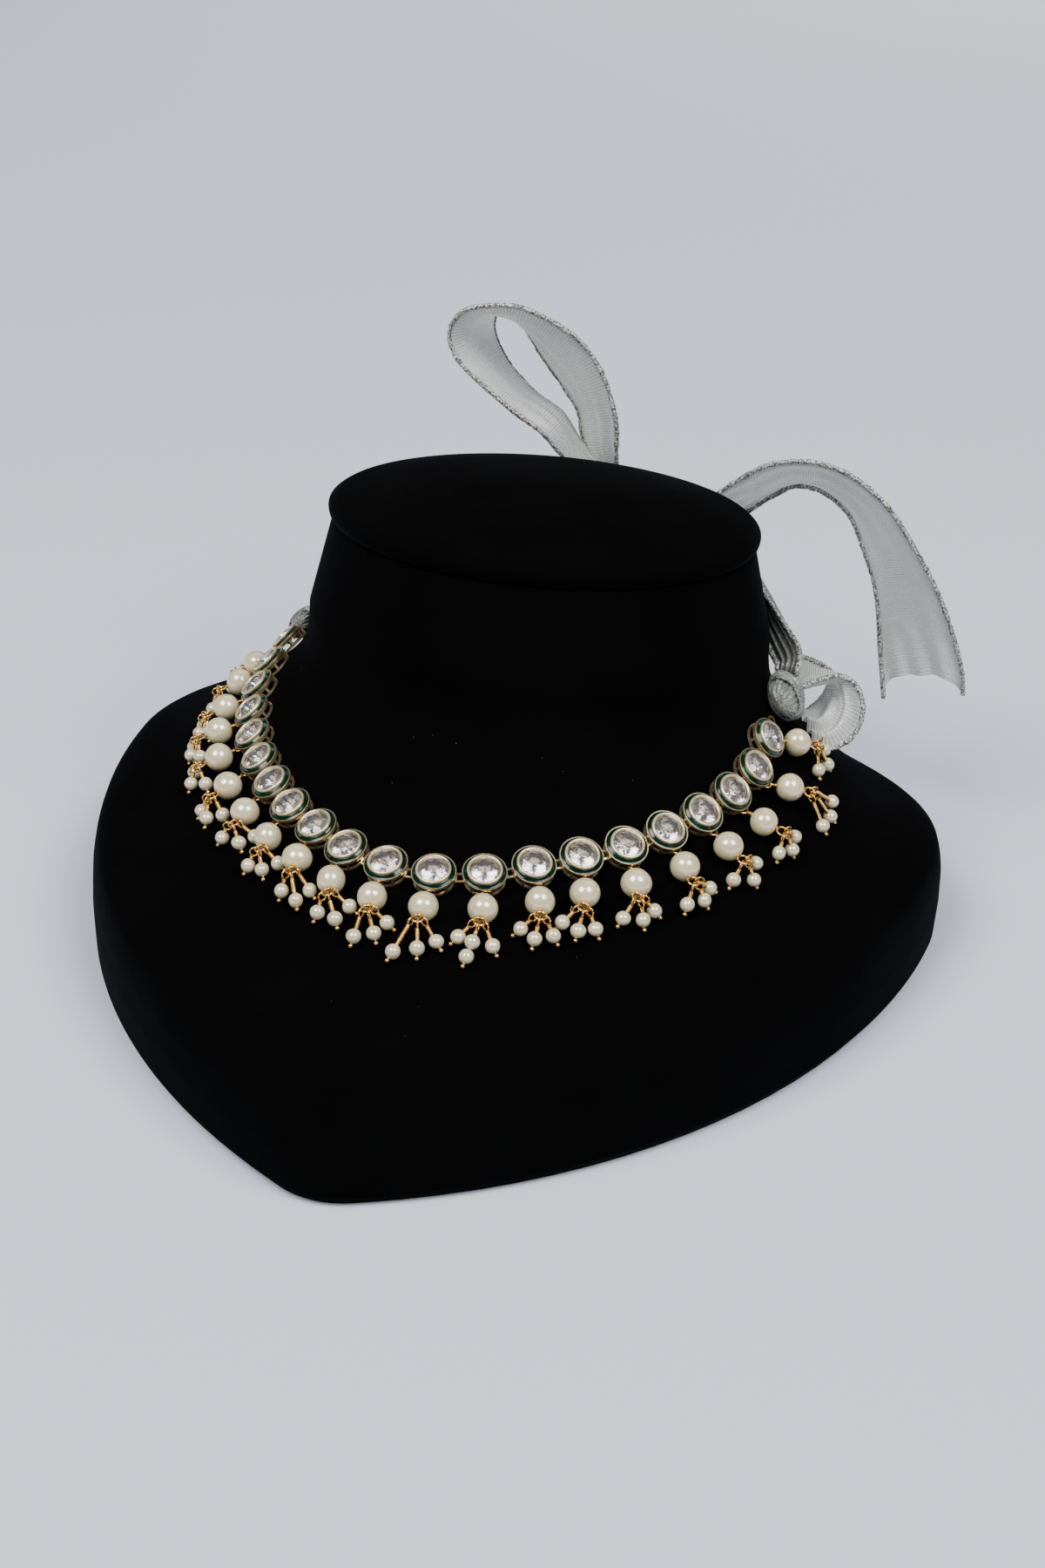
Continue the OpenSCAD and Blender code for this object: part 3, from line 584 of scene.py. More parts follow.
neckMiddle = np.array([0, 12, 45]) * mm
enamelLow = 2.66  # height of the enamel's lowest edge above a setting's foot
ringParts = looseParts("enamel_rings")
links = []
for number in range(1, linkCount + 1):
    around = nearestTo(middleOf("setting_%02d" % number), ringParts)
    centre, normal = ringAxis(around)
    if normal @ (centre - neckMiddle) < 0:
        normal = -normal
    foot = (around @ normal).min() - enamelLow * mm - centre @ normal
    links.append({"centre": centre, "normal": normal, "foot": centre + normal * foot})
for i, link in enumerate(links):
    before, after = links[max(i - 1, 0)], links[min(i + 1, linkCount - 1)]
    link["along"] = squareTo(after["centre"] - before["centre"], link["normal"])
    link["up"] = np.cross(link["normal"], link["along"])
print("links placed:", len(links))


# Settings keep the part's shape in gold

for number in range(1, linkCount + 1):
    dress("setting_%02d" % number, paleGold)
dress("drop_wires", fineGold)
dress("head_pins", fineGold)
dress("end_loops", fineGold)
print("settings and wires gilded")


# Burnished bezel lips over the stones' edges: [radius, height above the setting's foot]

lipShape = [[4.14, 3.4], [4.15, 4.0], [4.1, 4.2], [4.0, 4.31], [3.86, 4.35], [3.7, 4.32], [3.58, 4.22],
            [3.5, 4.08], [3.48, 3.98], [3.55, 3.9], [3.7, 3.8]]
proudLip = [[4.14, 3.4], [4.15, 4.0], [4.1, 4.18], [4.0, 4.28], [3.86, 4.31], [3.72, 4.27], [3.62, 4.15],
            [3.6, 3.95], [3.7, 3.8]]
lipOuter, lipWidth = 4.15, 0.67


def turnedRing(link, shape, columns, seed, lean=0.012):
    # A ring on a link's axis; lean is how unevenly its inner edge is pressed down
    turn = np.random.default_rng(seed).uniform(0, 2 * math.pi)
    verts = []
    for c in range(columns):
        a = 2 * math.pi * c / columns
        out = link["along"] * math.cos(a) + link["up"] * math.sin(a)
        uneven = lean * 0.5 * math.sin(3 * a + turn) + lean * 0.3 * math.sin(7 * a + turn)
        for r, z in shape:
            inner = (lipOuter - r) / lipWidth
            verts.append(link["foot"] + (out * r * (1 + uneven * inner) + link["normal"] * z) * mm)
    return verts, gridFaces(columns, len(shape), True) + seamFaces(columns, len(shape))


lipShapes = [lipShape] * (linkCount - 1) + [proudLip]
lips = addMesh("bezelLips", *joined([
    turnedRing(link, shape, 72, i) for i, (link, shape) in enumerate(zip(links, lipShapes))]), bezelGold)
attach(lips, "root")


# Enamel in its channel, drawn up a little at both sides

enamelShape = [[4.05, 3.1], [4.05, 3.58], [4.2, 3.52], [4.4, 3.34], [4.6, 3.17], [4.78, 3.06], [4.88, 3.04],
               [4.94, 3.08], [4.94, 2.68], [4.5, 2.85]]
enamelRings = addMesh("enamelRings", *joined([
    turnedRing(link, enamelShape, 96, 60 + i, 0) for i, link in enumerate(links)]), enamel)
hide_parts("enamel_rings")
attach(enamelRings, "root")
print("bezels and enamel turned")


# Cut stones: table, crown facets, girdle and foiled pavilion

# Rings of corners: [count, share of the radius, share of the width above the girdle, turn]
stoneCut = {
    "table": (8, 0.54, 0.145, 22.5), "star": (8, 0.78, 0.095, 0), "crown": (16, 0.985, 0.022, 11.25),
    "girdle": (32, 1.0, 0.0, 0), "under": (32, 1.0, -0.02, 0), "lower": (16, 0.6, -0.17, 11.25),
    "deep": (16, 0.24, -0.3, 0), "culet": (8, 0.03, -0.37, 0),
}
stoneSeat = {"tableHeight": 0.14, "lowered": 0.01, "foilBelow": 0.012}


def cutStones():
    verts, faces, foiled = [], [], []
    for cloud in looseParts("stones"):
        link = min(links, key=lambda k: np.linalg.norm(k["centre"] - cloud.mean(0)))
        n, x, y = link["normal"], link["along"], link["up"]
        heights = cloud @ n
        flat = cloud - np.outer(heights, n)
        centre = flat.mean(0)
        radius = max(np.linalg.norm(flat - centre, axis=1))
        size = 2 * radius
        girdle = heights.max() - stoneSeat["tableHeight"] * size - stoneSeat["lowered"] * mm
        points = []
        for count, share, height, turn in stoneCut.values():
            for k in range(count):
                a = math.radians(turn + 360 * k / count)
                out = x * math.cos(a) + y * math.sin(a)
                points.append(centre + n * (girdle + height * size) + radius * share * out)
        shape = bmesh.new()
        for p in points:
            shape.verts.new(p)
        bmesh.ops.convex_hull(shape, input=shape.verts[:])
        bmesh.ops.dissolve_limit(shape, angle_limit=math.radians(1.0), verts=shape.verts[:],
                                 edges=shape.edges[:])
        loose = [v for v in shape.verts if not v.link_faces]
        bmesh.ops.delete(shape, geom=loose, context="VERTS")
        shape.verts.index_update()
        start = len(verts)
        verts.extend(np.array(v.co) for v in shape.verts)
        for f in shape.faces:
            faces.append(tuple(v.index + start for v in f.verts))
            foiled.append(np.array(f.calc_center_median()) @ n < girdle - stoneSeat["foilBelow"] * size)
        shape.free()
    stones = addMesh("cutStones", verts, faces, [stoneGlass, stoneFoil], smooth=False)
    stones.data.polygons.foreach_set("material_index", [int(f) for f in foiled])
    return stones


stones = cutStones()
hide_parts("stones")
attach(stones, "root")
print("stones cut:", len(stones.data.polygons), "facets")


# Pearls: baroque by a few hundredths, with the drill holes' dimples

# large, small: rings from hole to hole, points round, unevenness
pearlShape = {"large": (40, 56, 0.018), "small": (22, 30, 0.022), "dimple": 0.05, "dimpleWidth": 0.13,
              "fit": 0.995}


def pearlMesh(centre, axis, radius, seed, rings, columns, uneven):
    axis = unit(axis)
    side = squareTo([0.37, 0.61, 0.7], axis)
    up = np.cross(axis, side)
    wave = np.random.default_rng(seed).normal(size=(4, 3)) * uneven
    verts = []
    for r in range(rings + 1):
        polar = math.pi * r / rings
        fromHole = min(polar, math.pi - polar) / pearlShape["dimpleWidth"]
        hole = math.exp(-fromHole ** 2) * pearlShape["dimple"]
        for c in range(columns):
            a = 2 * math.pi * c / columns
            d = axis * math.cos(polar) + (side * math.cos(a) + up * math.sin(a)) * math.sin(polar)
            bulge = sum(w @ (d ** (k + 1)) for k, w in enumerate(wave))
            verts.append(centre + d * radius * (1 + bulge - hole))
    return verts, gridFaces(rings + 1, columns, True)


wireParts = looseParts("drop_wires")
pearls = []
for i in range(linkCount):
    name = "pearl_%02d" % (i + 1)
    centre = middleOf(name)
    lo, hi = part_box(name)
    radius = max(np.array(hi) - np.array(lo)) / 2
    wire = nearestTo(centre, wireParts, lambda c: c[np.argmin(np.linalg.norm(c - centre, axis=1))])
    up = unit(links[i]["centre"] - centre)
    ringPoints = wire[(wire - centre) @ up < -radius * 0.6]
    far = ringPoints[np.linalg.norm(ringPoints - centre, axis=1) > radius * 1.05]
    ringCentre = (far.max(0) + far.min(0)) / 2
    axis = unit(ringCentre - centre)
    pearls.append({"centre": centre, "radius": radius, "axis": axis, "ring": ringCentre})
    verts, faces = pearlMesh(centre, axis, radius * pearlShape["fit"], 40 + i, *pearlShape["large"])
    piece = addMesh("largePearl%02d" % (i + 1), verts, faces, pearlSkin)
    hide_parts(name)
    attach(piece, "root")


def pinAxis(cloud):
    # Eye's centre and the way down to the ball of a head pin
    c, axes = axisOf(cloud)
    along = axes[0]
    t = (cloud - c) @ along
    reach = np.linalg.norm(cloud - c - np.outer(t, along), axis=1)
    span = t.max() - t.min()
    high, low = reach[t > t.max() - 0.25 * span].max(), reach[t < t.min() + 0.25 * span].max()
    if high > low:
        along, t = -along, -t
    return c + along * t.min(), along, span


pins = []
for cloud in looseParts("head_pins"):
    eyeEnd, down, span = pinAxis(cloud)
    pins.append({"top": eyeEnd, "down": down, "length": span})


def distanceFrom(pin, point):
    # Distance from a pin's line, with a place past its ends counted ten times
    way = point - pin["top"]
    down = way @ pin["down"]
    return np.linalg.norm(np.cross(way, pin["down"])) + 10 * max(0, down - pin["length"], -down)


beads = []
for cloud in looseParts("small_pearls"):
    centre = (cloud.max(0) + cloud.min(0)) / 2
    pin = min(pins, key=lambda p: distanceFrom(p, centre))
    radius = np.linalg.norm(cloud - centre, axis=1).max()
    beads.append({"centre": centre, "radius": radius, "pin": pin})
    pin.setdefault("beads", []).append((centre - pin["top"]) @ pin["down"])
smallPearls = addMesh("seedPearls", *joined([
    pearlMesh(b["centre"], b["pin"]["down"], b["radius"] * pearlShape["fit"], 200 + k, *pearlShape["small"])
    for k, b in enumerate(beads)]), seedSkin)
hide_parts("small_pearls")
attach(smallPearls, "root")
print("pearls strung:", len(pearls), "and", len(beads))


# Wrapped necks of the wires and pins, and the wires' stray ends

wrap = {"wire": 0.15, "pinCoil": 0.40, "dropCoil": 0.44, "turnPitch": 0.31, "sides": 6, "perTurn": 14,
        "eyeOutside": 1.24, "beadRadius": 1.75, "aboveDrop": 0.95, "belowDrop": 0.3}


def coil(start, axis, length, radius, seed=0):
    axis = unit(axis)
    side = squareTo([0.3, 0.5, 0.8], axis)
    up = np.cross(axis, side)
    turns = max(1.5, round(length / (wrap["turnPitch"] * mm)))
    n = int(turns * wrap["perTurn"])
    t = np.linspace(0, 1, n)
    a = 2 * math.pi * turns * t + seed
    uneven = 1 + 0.05 * np.sin(3.1 * a + seed)
    path = [start + axis * length * k + (side * math.cos(b) + up * math.sin(b)) * radius * mm * u
            for k, b, u in zip(t, a, uneven)]
    return tubeMesh(path, wrap["wire"] * mm, wrap["sides"])


# Wire ends that stand off: (drop's number, its pin from the viewer's left, length)
strayEnds = [(21, 2, 1.9), (21, 0, 1.0), (20, 1, 1.2), (12, 2, 1.3), (11, 1, 0.8), (9, 2, 1.2), (9, 0, 0.9),
             (5, 1, 0.8), (15, 0, 0.9), (17, 2, 0.8)]


def pinsOf(number):
    # The three pins of a drop, from the viewer's left to the right
    ring = pearls[number - 1]["ring"]
    close = sorted(pins, key=lambda p: np.linalg.norm(p["top"] + p["down"] * wrap["eyeOutside"] * mm - ring))
    return sorted(close[:3], key=lambda p: p["down"] @ links[number - 1]["along"])


def strayEnd(number, which, length):
    pin = pinsOf(number)[which]
    out = squareTo(links[number - 1]["normal"] + 0.6 * links[number - 1]["up"], pin["down"])
    side = np.cross(pin["down"], out)
    start = pin["top"] + pin["down"] * 2.1 * wrap["eyeOutside"] * mm
    path = [start + (out * (0.4 + length * k * 0.8) + side * 0.45 * math.sin(2.2 * k)
                     - pin["down"] * length * k * k) * mm for k in np.linspace(0, 1, 12)]
    return tubeMesh(path, wrap["wire"] * mm, wrap["sides"])


coils = [strayEnd(*end) for end in strayEnds]
for k, pin in enumerate(pins):
    first = min(pin.get("beads", [4 * mm]))
    neckFrom, neckTo = 2 * wrap["eyeOutside"] * mm, first - wrap["beadRadius"] * mm
    if neckTo - neckFrom > 0.3 * mm:
        start = pin["top"] + pin["down"] * neckFrom
        coils.append(coil(start, pin["down"], neckTo - neckFrom, wrap["pinCoil"], k))
for pearl in pearls:
    for way, length in ((-1, wrap["aboveDrop"]), (1, wrap["belowDrop"])):
        start = pearl["centre"] + pearl["axis"] * way * pearl["radius"] * 0.985
        coils.append(coil(start, pearl["axis"] * way, length * mm, wrap["dropCoil"], way))
wireWraps = addMesh("wireWraps", *joined(coils), fineGold)
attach(wireWraps, "root")
print("wires wrapped:", len(coils), "necks")


# The photo's camera, in millimetres

view = {"at": (143.68, -488.89, 300.78), "forward": (-0.24680, 0.84791, -0.46919),
        "up": (-0.17063, 0.43858, 0.88234), "right": (0.95393, 0.29782, 0.03644), "lens": 50.06}


# Ribbon: stations of centre and half width, in millimetres, as in the part

ribbon = {"width": 25, "thread": 0.24, "across": 44}
selvedge = {"radius": 0.68, "sides": 8, "knobbly": 0.12}
bowKnot = {"place": (88, 88), "width": 15, "height": 11, "depth": 9}
bowAt = above(bowKnot["place"], bowKnot["depth"] / 2 + 0.5)
# Loop and tail: [right, up, turn of the width out of the photo's plane, share of the width]
# right and up are shares of loopSize and tailSize
loopRows = [
    [-0.05, 0, 4, 0.22], [-0.25, 0.15, 0, 0.6], [-0.39, 0.32, -4, 0.9], [-0.57, 0.43, -6, 1],
    [-0.76, 0.59, -2, 1], [-0.88, 0.74, 6, 1], [-0.91, 0.87, 12, 1], [-0.86, 0.96, 14, 1],
    [-0.75, 0.99, 18, 1], [-0.58, 0.95, 31, 1], [-0.36, 0.79, 46, 1], [-0.21, 0.62, 47, 1],
    [-0.1, 0.41, 42, 0.95], [-0.06, 0.2, 40, 0.85], [0.04, 0.02, 24, 0.4],
]
tailRows = [
    [0, 0, 24, 0.4], [0.14, -0.01, 27, 0.7], [0.27, 0.05, 31, 0.9], [0.37, 0.13, 31, 1],
    [0.46, 0.19, 32, 1], [0.56, 0.205, 36, 1], [0.65, 0.18, 40, 1], [0.74, 0.115, 43, 1],
    [0.81, 0.01, 49, 1], [0.88, -0.125, 57, 1], [0.925, -0.26, 68, 1], [0.96, -0.4, 84, 0.97],
    [0.975, -0.495, 98, 0.92],
]
# Short end: its near and far edge, each as [right, up, away] for the photo's camera, from the right knot
endRows = [
    [1.8, 0.4, 1, 2.4, 5.4, 5], [4.2, 1.4, 2, 4.2, 9.6, 13], [9.5, 3.6, 4, 9.6, 9.4, 19],
    [14.8, 5.1, 5, 15.4, 6.6, 22], [19, 2.9, 5, 13.4, 1.6, 20], [20.8, -2.2, 5, 10.8, -1.4, 19],
    [19.6, -7.6, 5.5, 8.6, -2.6, 18], [16.2, -11.3, 6, 7.2, -3, 17.5], [12, -12.5, 7, 6, -2.8, 17],
    [8, -11, 8.5, 5, -2.4, 16.5],
]
# Strands: [heading from the front, height, height above the skin, turn of the width off the skin]
rightStrand = [
    [97, 67, 5.4, 50], [101, 68.2, 5.4, 50], [106.5, 70, 4, 42], [113, 73, 2.3, 22], [122, 78, 1.5, 5],
    [134, 84, 1.3, 0], [147, 88, 1.3, 0], [160, 89, 1.4, 0], [172.5, 89, 1.5, 0],
]
leftStrand = [
    [-113.5, 64, 2.6, 20], [-119, 71, 2.4, 20], [-127, 79, 1.8, 10], [-137, 84, 1.5, 0], [-149, 87, 1.5, 0],
    [-162, 88, 1.5, 0], [-176.5, 88, 1.5, 0],
]
strandLook = {"width": 7.6, "knotLength": 11, "gap": 0.2, "start": 3.6, "pinched": 0.55}


def flatStations(rows, start, size, depth):
    out = []
    for i, (x, z, turn, share) in enumerate(rows):
        a, b = rows[max(i - 1, 0)], rows[min(i + 1, len(rows) - 1)]
        t = unit([b[0] - a[0], 0, b[1] - a[1]])
        side = np.array([-t[2], 0, t[0]])
        turn = math.radians(turn)
        centre = start + np.array([x * size, depth * math.sin(math.pi * i / (len(rows) - 1)), z * size])
        half = side * math.sin(turn) + np.array([0, -1, 0]) * math.cos(turn)
        out.append(np.hstack([centre, half * ribbon["width"] / 2 * share]))
    return np.array(out)


def endStations(knotAt):
    seen = np.array([view["right"], view["up"], view["forward"]])
    edges = np.array(endRows)
    near, far = edges[:, :3] @ seen, edges[:, 3:] @ seen
    return np.hstack([knotAt + (near + far) / 2, (near - far) / 2])


def skinUnder(point):
    # The skin's place below a point: slides towards it until nothing is left along the skin
    q = np.array([headingOf(point[:2] - neckMiddle[:2] / mm), point[2]])
    for _ in range(12):
        way, n = point - skinPoint(q), skinNormal(q)
        q = slide(q, way - n * (n @ way), 1)
    return q


def strandStations(knotAt, along, rows):
    q = skinUnder(knotAt)
    first = slide(q, squareTo(along, skinNormal(q)) * (strandLook["knotLength"] / 2 + strandLook["gap"]))
    rows = [[first[0] + 90, first[1], strandLook["start"], rows[0][3]]] + rows
    width = strandLook["width"]
    out = []
    for i, (_, _, high, turn) in enumerate(rows):
        q, a, b = ((r[0] - 90, r[1]) for r in (rows[i], rows[max(i - 1, 0)], rows[min(i + 1, len(rows) - 1)]))
        t, n = unit(skinPoint(b) - skinPoint(a)), skinNormal(q)
        turn = math.radians(turn)
        half = (unit(np.cross(n, t)) * math.cos(turn) + n * math.sin(turn)) * width / 2
        out.append(np.hstack([above(q, high), half * (strandLook["pinched"] if i == 0 else 1)]))
    return np.array(out)


def clothPlaces(obj, values):
    # The flat cloth's places in metres, for the weave
    layer = obj.data.uv_layers.new(name="cloth")
    index = np.zeros(len(obj.data.loops), int)
    obj.data.loops.foreach_get("vertex_index", index)
    layer.data.foreach_set("uv", np.array(values)[index].ravel())


def clothMesh(name, stations, look, material):
    # look: rows along, cup across, folds with limit and depth, crease, notch of the end, edge turned over
    rows, cols = look["along"], ribbon["across"]
    us = np.linspace(-1, 1, cols)
    t = np.linspace(0, 1, rows)
    rng = np.random.default_rng(look["seed"])
    shifts = rng.uniform(0, 2 * math.pi, 4)
    grid = np.zeros((rows, cols, 3))
    dense = readCurve(stations, t)
    run = np.concatenate([[0], np.cumsum(np.linalg.norm(np.diff(dense[:, :3], axis=0), axis=1))])
    for c, u in enumerate(us):
        at = t * (1 - look.get("notch", 0) * (1 - abs(u) ** 4))
        s = readCurve(stations, at)
        step = 1e-3
        tangent = readCurve(stations, at + step)[:, :3] - readCurve(stations, at - step)[:, :3]
        tangent /= np.linalg.norm(tangent, axis=1)[:, None]
        half = s[:, 3:]
        size = np.linalg.norm(half, axis=1)
        normal = np.cross(tangent, half)
        normal /= np.linalg.norm(normal, axis=1)[:, None]
        m = look["folds"]
        spare = np.maximum(ribbon["width"] / (2 * size) - 1, 0)
        depth = np.minimum(look.get("deep", 1) * 2 * size / (math.pi * m) * np.sqrt(spare), look["foldLimit"])
        phase = shifts[0] + 1.3 * np.sin(at * 5 + shifts[1])
        bend = depth * np.sin(math.pi * m * (u + 1) + phase)
        finer = 0.6 * np.sin(11 * u - 7 * at + shifts[3])
        crease = look["crease"] * (np.sin(5.3 * u + 3.1 * at + shifts[2]) + finer)
        over = look.get("over", 0) * np.clip(1.15 - at, 0, 1) * np.clip(at * 4, 0, 1)
        line = -1 + over
        beyond = np.maximum(line - u, 0)
        across = np.where(u < line, 2 * line - u, u)
        lift = look["cup"] * (1 - across * across) * size + bend + crease + np.sqrt(beyond) * 1.5
        grid[:, c] = s[:, :3] + half * (across - over)[:, None] + normal * lift[:, None]
    obj = addMesh(name, grid.reshape(-1, 3) * mm, gridFaces(rows, cols), material)
    flat = [(us[k % cols] * ribbon["width"] / 2 * mm, run[k // cols] * mm) for k in range(rows * cols)]
    clothPlaces(obj, flat)
    thick = obj.modifiers.new("threads", "SOLIDIFY")
    thick.thickness = ribbon["thread"] * mm
    thick.offset = 0
    return obj, grid, run[-1] * mm


def selvedges(name, grid, material, seed):
    # Thick glittering edges, a little knobbly
    rng = np.random.default_rng(seed)
    parts = []
    for column in (0, -1):
        path = grid[:, column]
        knobs = selvedge["radius"] * (1 + selvedge["knobbly"] * rng.normal(size=len(path)).clip(-2, 2))
        parts.append(tubeMesh(path * mm, knobs * mm, selvedge["sides"]))
    verts, faces = joined(parts)
    obj = addMesh(name, verts, faces, material)
    sides = selvedge["sides"]
    clothPlaces(obj, [((k % sides) * 0.35 * mm, k // sides * 0.5 * mm) for k in range(len(verts))])
    return obj


# Knots: a pleated core and a slanting band round it
# band: shift along, slant and width, as shares of the half length; core and round: rows and points in a row

knotLook = {
    "right": {"size": (11, 10, 7), "along": 5.0, "sunk": 0, "band": (0.04, 0.42, 0.4)},
    "left": {"size": (8, 8, 5.5), "along": -3.0, "sunk": 0.8, "band": (0.0, -0.35, 0.36)},
    "bow": {"size": (bowKnot["width"], bowKnot["height"], bowKnot["depth"]), "band": (0.0, 0.12, 0.34)},
    "core": (70, 110), "round": (90, 40),
}


def knotCore(spread, seed):
    rows, cols = knotLook["core"]
    verts = []
    for r in range(rows):
        s = -1 + 2 * r / (rows - 1)
        fall = max((1 - min(abs(s), 1) ** 3.2) ** 0.5, 0.05)
        for c in range(cols):
            a = 2 * math.pi * c / cols
            pleat = 0.05 * math.sin(7 * a + 3.2 * s) + 0.045 * math.sin(17 * a - 5 * s + 1)
            pleat += 0.07 * math.sin(2 * a + 1.5 * s + seed)
            verts.append(spread(s, a, fall * (1 + pleat)))
    return verts, gridFaces(rows, cols, True) + endCaps(rows, cols)


def knotBand(spread, band):
    shift, slant, wide = band
    rows, cols = knotLook["round"]
    verts = []
    for r in range(rows):
        a = 2 * math.pi * r / rows
        for c in range(cols):
            b = 2 * math.pi * c / cols
            s = shift + slant * math.cos(a) + wide * math.cos(b) * (1 + 0.08 * math.sin(3 * a))
            fall = max(1 - abs(s) ** 3.2, 0.05) ** 0.5
            ridge = 0.045 * math.sin(9 * b + 2 * a) + 0.05 * math.sin(6 * b - a + 1)
            ridge += 0.03 * math.sin(5 * a + b)
            verts.append(spread(s, a, fall * (1 + ridge) + 0.13 * (1 + math.sin(b))))
    return verts, gridFaces(rows, cols, True) + seamFaces(rows, cols)


def knotMesh(name, centre, x, n, look, seed):
    # x: the knot's length; n: out of the skin
    y = np.cross(n, x)
    length, width, depth = look["size"]

    def spread(s, a, k):
        return centre + x * s * length / 2 + y * math.cos(a) * width / 2 * k + n * math.sin(a) * depth / 2 * k

    verts, faces = joined([knotCore(spread, seed), knotBand(spread, look["band"])])
    # The knot's cloth is the organza copy darkened with painted shade.
    obj = addMesh(name, np.array(verts) * mm, faces, shadedOrganza)
    clothPlaces(obj, [((v - centre) @ x * mm, (v - centre) @ (y + n) * mm) for v in verts])
    return obj


def endKnot(side, link, sign, seed):
    # A knot at one end of the chain, moved along it and into the skin to where the photo shows it
    look = knotLook[side]
    centre = middleOf("ribbon_knot_" + side) / mm
    n = skinNormal(skinUnder(centre))
    along = squareTo(sign * link["along"], n)
    centre = centre + along * look["along"] - n * look["sunk"]
    return centre, along, knotMesh("knot" + side.capitalize(), centre, along, n, look, seed)


rightAt, alongRight, rightKnot = endKnot("right", links[-1], 1, 3)
leftAt, alongLeft, leftKnot = endKnot("left", links[0], -1, 4)
bowOut = skinNormal(bowKnot["place"])
bow = knotMesh("bowKnot", bowAt, squareTo([-1, 0, 0], bowOut), bowOut, knotLook["bow"], 5)
knots = {"ribbon_knot_right": rightKnot, "ribbon_knot_left": leftKnot, "ribbon_bow_knot": bow}
for name, piece in knots.items():
    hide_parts(name)
    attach(piece, "root")
print("knots tied")


# Cloths between and beyond the knots: stations, the part's node, how it is held, what holds it

loopFrom = bowAt + [0, 3, bowKnot["height"] / 2 + 0.3]
tailFrom = bowAt + [bowKnot["width"] / 2 + 0.3, 2.5, -1]
loopSize, tailSize = 45, 88
cloths = {
    "bowLoop": (flatStations(loopRows, loopFrom, loopSize, -2), "ribbon_bow_loop", "folded", bow),
    "longTail": (flatStations(tailRows, tailFrom, tailSize, -3), "ribbon_long_tail", "hung", bow),
    "shortEnd": (endStations(rightAt), "ribbon_short_end", "hung", rightKnot),
    "strandRight": (strandStations(rightAt, alongRight, rightStrand), "ribbon_strand_right", "gathered",
                    rightKnot),
    "strandLeft": (strandStations(leftAt, alongLeft, leftStrand), "ribbon_strand_left", "gathered", leftKnot),
}
clothLooks = {
    "bowLoop": {"along": 170, "cup": 0.16, "folds": 4, "foldLimit": 1.6, "crease": 0.16, "seed": 11},
    "longTail": {"along": 200, "cup": 0.14, "folds": 4, "foldLimit": 1.6, "crease": 0.2, "notch": 0.075,
                 "over": 0.34, "seed": 12},
    "shortEnd": {"along": 90, "cup": 0.14, "folds": 3, "foldLimit": 2.2, "crease": 0.12, "seed": 13},
    "strandRight": {"along": 130, "cup": 0.06, "folds": 4, "foldLimit": 1.2, "deep": 1.15, "crease": 0.1,
                    "seed": 14},
    "strandLeft": {"along": 130, "cup": 0.06, "folds": 4, "foldLimit": 1.2, "deep": 1.35, "crease": 0.1,
                   "seed": 15},
}
for name, (stations, node, held, carrier) in cloths.items():
    look = clothLooks[name]
    # Gathered strands use the organza copy darkened with painted shade.
    cloth, grid, length = clothMesh(name, stations, look, shadedOrganza if held == "gathered" else organza)
    edges = selvedges(name + "Edges", grid, selvedgeThread, look["seed"])
    for piece in (cloth, edges):
        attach(piece, "root")
    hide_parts(node)
    print(name, "length", round(length * 1000, 1), "mm")


# Lint on the velvet

lintLook = {"count": 16, "headings": (-150, -30), "heights": (30, 62), "length": (0.15, 0.55),
            "radius": 0.025, "above": 0.12}


def velvetLint(material):
    rng = np.random.default_rng(5)
    parts = []
    for _ in range(lintLook["count"]):
        q = (rng.uniform(*lintLook["headings"]), rng.uniform(*lintLook["heights"]))
        o, n = skinPoint(q), skinNormal(q)
        way = squareTo(rng.normal(size=3), n)
        side = np.cross(n, way)
        size = rng.uniform(*lintLook["length"])
        path = [o + n * lintLook["above"] + way * size * k + side * size * 0.3 * math.sin(3 * k)
                for k in np.linspace(-0.5, 0.5, 6)]
        parts.append(tubeMesh(np.array(path) * mm, lintLook["radius"] * mm, 5))
    return addMesh("velvetLint", *joined(parts), material)


def lintFinish():
    m, tree, s = newMaterial("lintFibre", Roughness=0.9)
    colourFrom(tree, noiseAt(tree, 300, 1), [(0.3, (0.08, 0.08, 0.085)), (0.7, (0.2, 0.2, 0.2))], s)
    return m


lint = velvetLint(lintFinish())
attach(lint, "root")
print("lint laid")


# Floor, lights and camera

# Boxes: azimuth and power; backBox: x, y, z, size and power
studio = {
    # near and far: the floor's colours; the far one is lighter, painted light that makes up for the lamps'
    # falloff towards the back
    "floor": 60.0, "near": (0.665, 0.71, 0.8), "far": (0.79, 0.84, 0.93), "nearFrom": 0.1, "farFrom": 3.0,
    "world": (0.58, 0.65, 0.78), "worldStrength": 0.1,
    "boxSize": 1.15, "boxDistance": 2.3, "boxHeight": 53, "leftBox": (-31, 55.0), "rightBox": (62, 48.0),
    "backBox": (-0.1, 2.3, 1.9, 2.2, 24.0), "backSpread": 110,
}


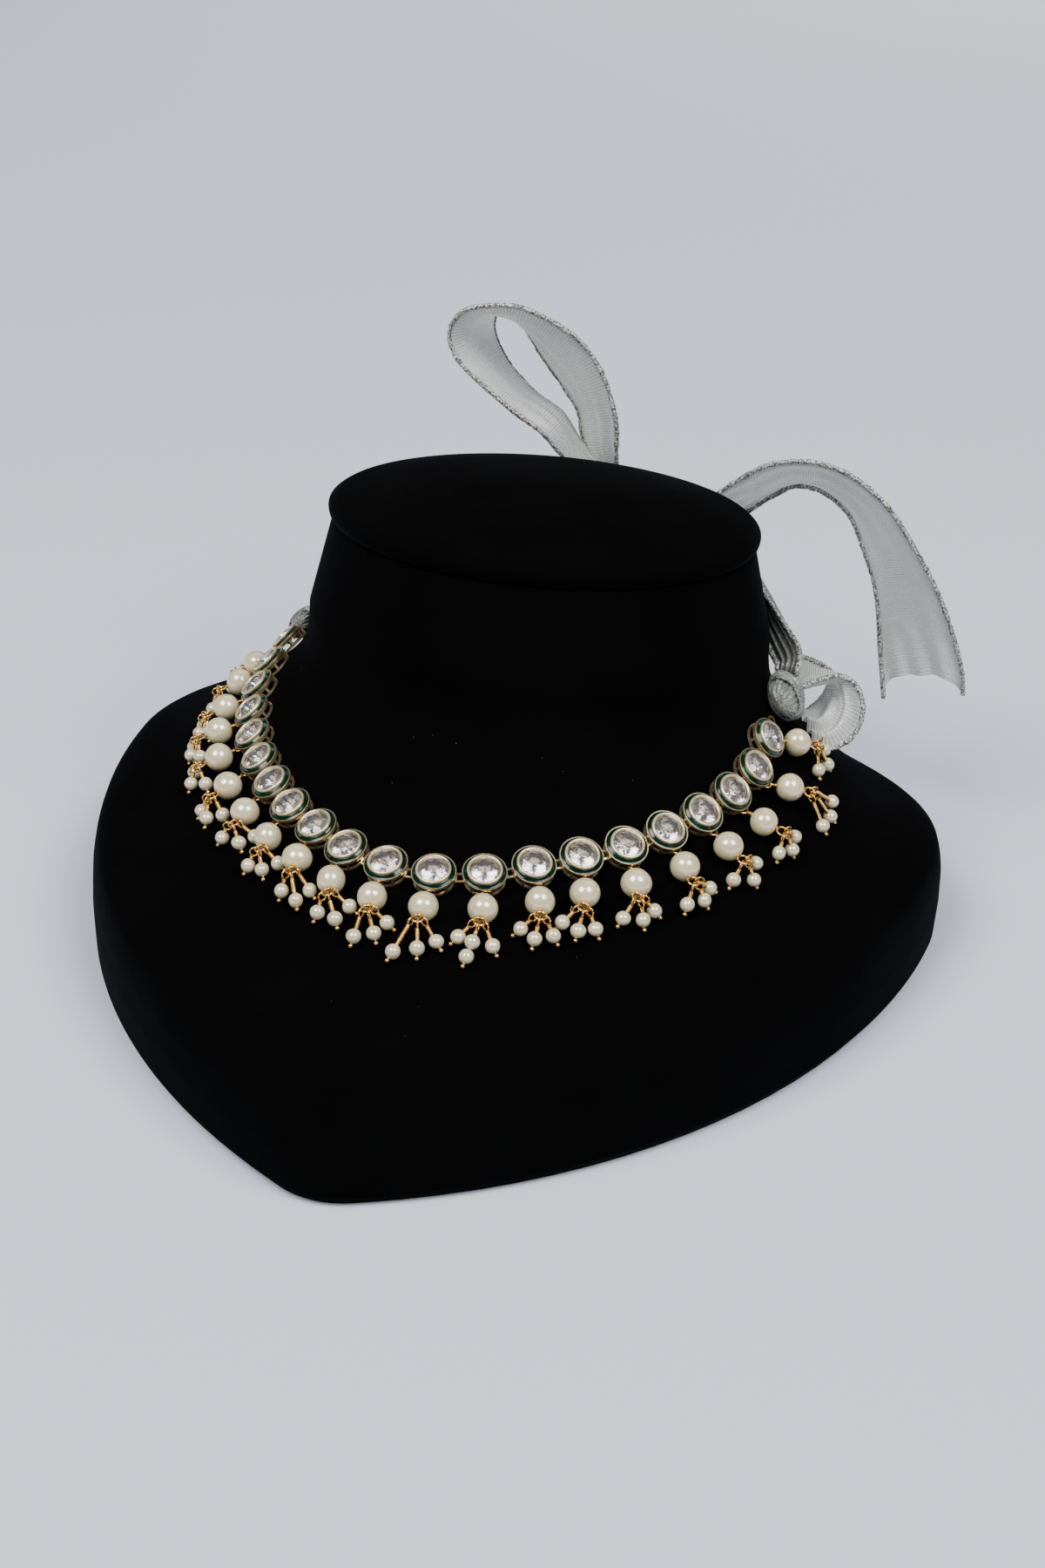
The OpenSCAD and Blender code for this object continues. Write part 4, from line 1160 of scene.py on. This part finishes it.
def makeFloor():
    h = studio["floor"] / 2
    tone, tree, s = newMaterial("paleFloor", Roughness=0.85, Specular_IOR_Level=0.2)
    reach = tree.nodes.new("ShaderNodeSeparateXYZ")
    tree.links.new(objectPlace(tree), reach.inputs[0])
    share = tree.nodes.new("ShaderNodeMapRange")
    share.inputs["From Min"].default_value = studio["nearFrom"]
    share.inputs["From Max"].default_value = studio["farFrom"]
    tree.links.new(reach.outputs["Y"], share.inputs["Value"])
    # Painted light: the floor grows lighter from near to far, making up for the lamps' light falling off
    # towards the back.
    colourFrom(tree, share.outputs["Result"], [(0, studio["near"]), (1, studio["far"])], s)
    corners = [(-h, -h, 0), (h, -h, 0), (h, h, 0), (-h, h, 0)]
    floor = addMesh("paleFloor", corners, [(0, 1, 2, 3)], tone, smooth=False)


def addLamp(name, at, size, power):
    data = bpy.data.lights.new(name, "AREA")
    data.size, data.energy = size, power
    lamp = bpy.data.objects.new(name, data)
    lamp.location = at
    bpy.context.collection.objects.link(lamp)
    return lamp


def addBox(name, azimuth, power):
    # Softbox at an azimuth counted from the front towards the viewer's right
    a, e, d = math.radians(azimuth), math.radians(studio["boxHeight"]), studio["boxDistance"]
    at = Vector((d * math.cos(e) * math.sin(a), -d * math.cos(e) * math.cos(a), d * math.sin(e)))
    lamp = addLamp(name, at, studio["boxSize"], power)
    lamp.rotation_euler = (-at).to_track_quat("-Z", "Y").to_euler()


def addBackLight():
    # Large box over the floor behind, for an even background
    x, y, z, size, power = studio["backBox"]
    addLamp("backSoftbox", (x, y, z), size, power).data.spread = math.radians(studio["backSpread"])


def makeCamera():
    data = bpy.data.cameras.new("photoView")
    data.lens, data.sensor_width, data.sensor_fit = view["lens"], 36, "AUTO"
    data.clip_start, data.clip_end = 0.02, 50
    camera = bpy.data.objects.new("photoView", data)
    r, u, f = (Vector(view[k]) for k in ("right", "up", "forward"))
    turn = Matrix((r, u, -f)).transposed().to_4x4()
    camera.matrix_world = Matrix.Translation(Vector(view["at"]) * mm) @ turn
    bpy.context.collection.objects.link(camera)
    bpy.context.scene.camera = camera


def makeWorld():
    world = bpy.data.worlds.new("studioWorld")
    world.use_nodes = True
    background = world.node_tree.nodes["Background"]
    background.inputs["Color"].default_value = (*studio["world"], 1)
    background.inputs["Strength"].default_value = studio["worldStrength"]
    bpy.context.scene.world = world


makeFloor()
addBackLight()
addBox("leftSoftbox", *studio["leftBox"])
addBox("rightSoftbox", *studio["rightBox"])
makeWorld()
makeCamera()
print("studio set")
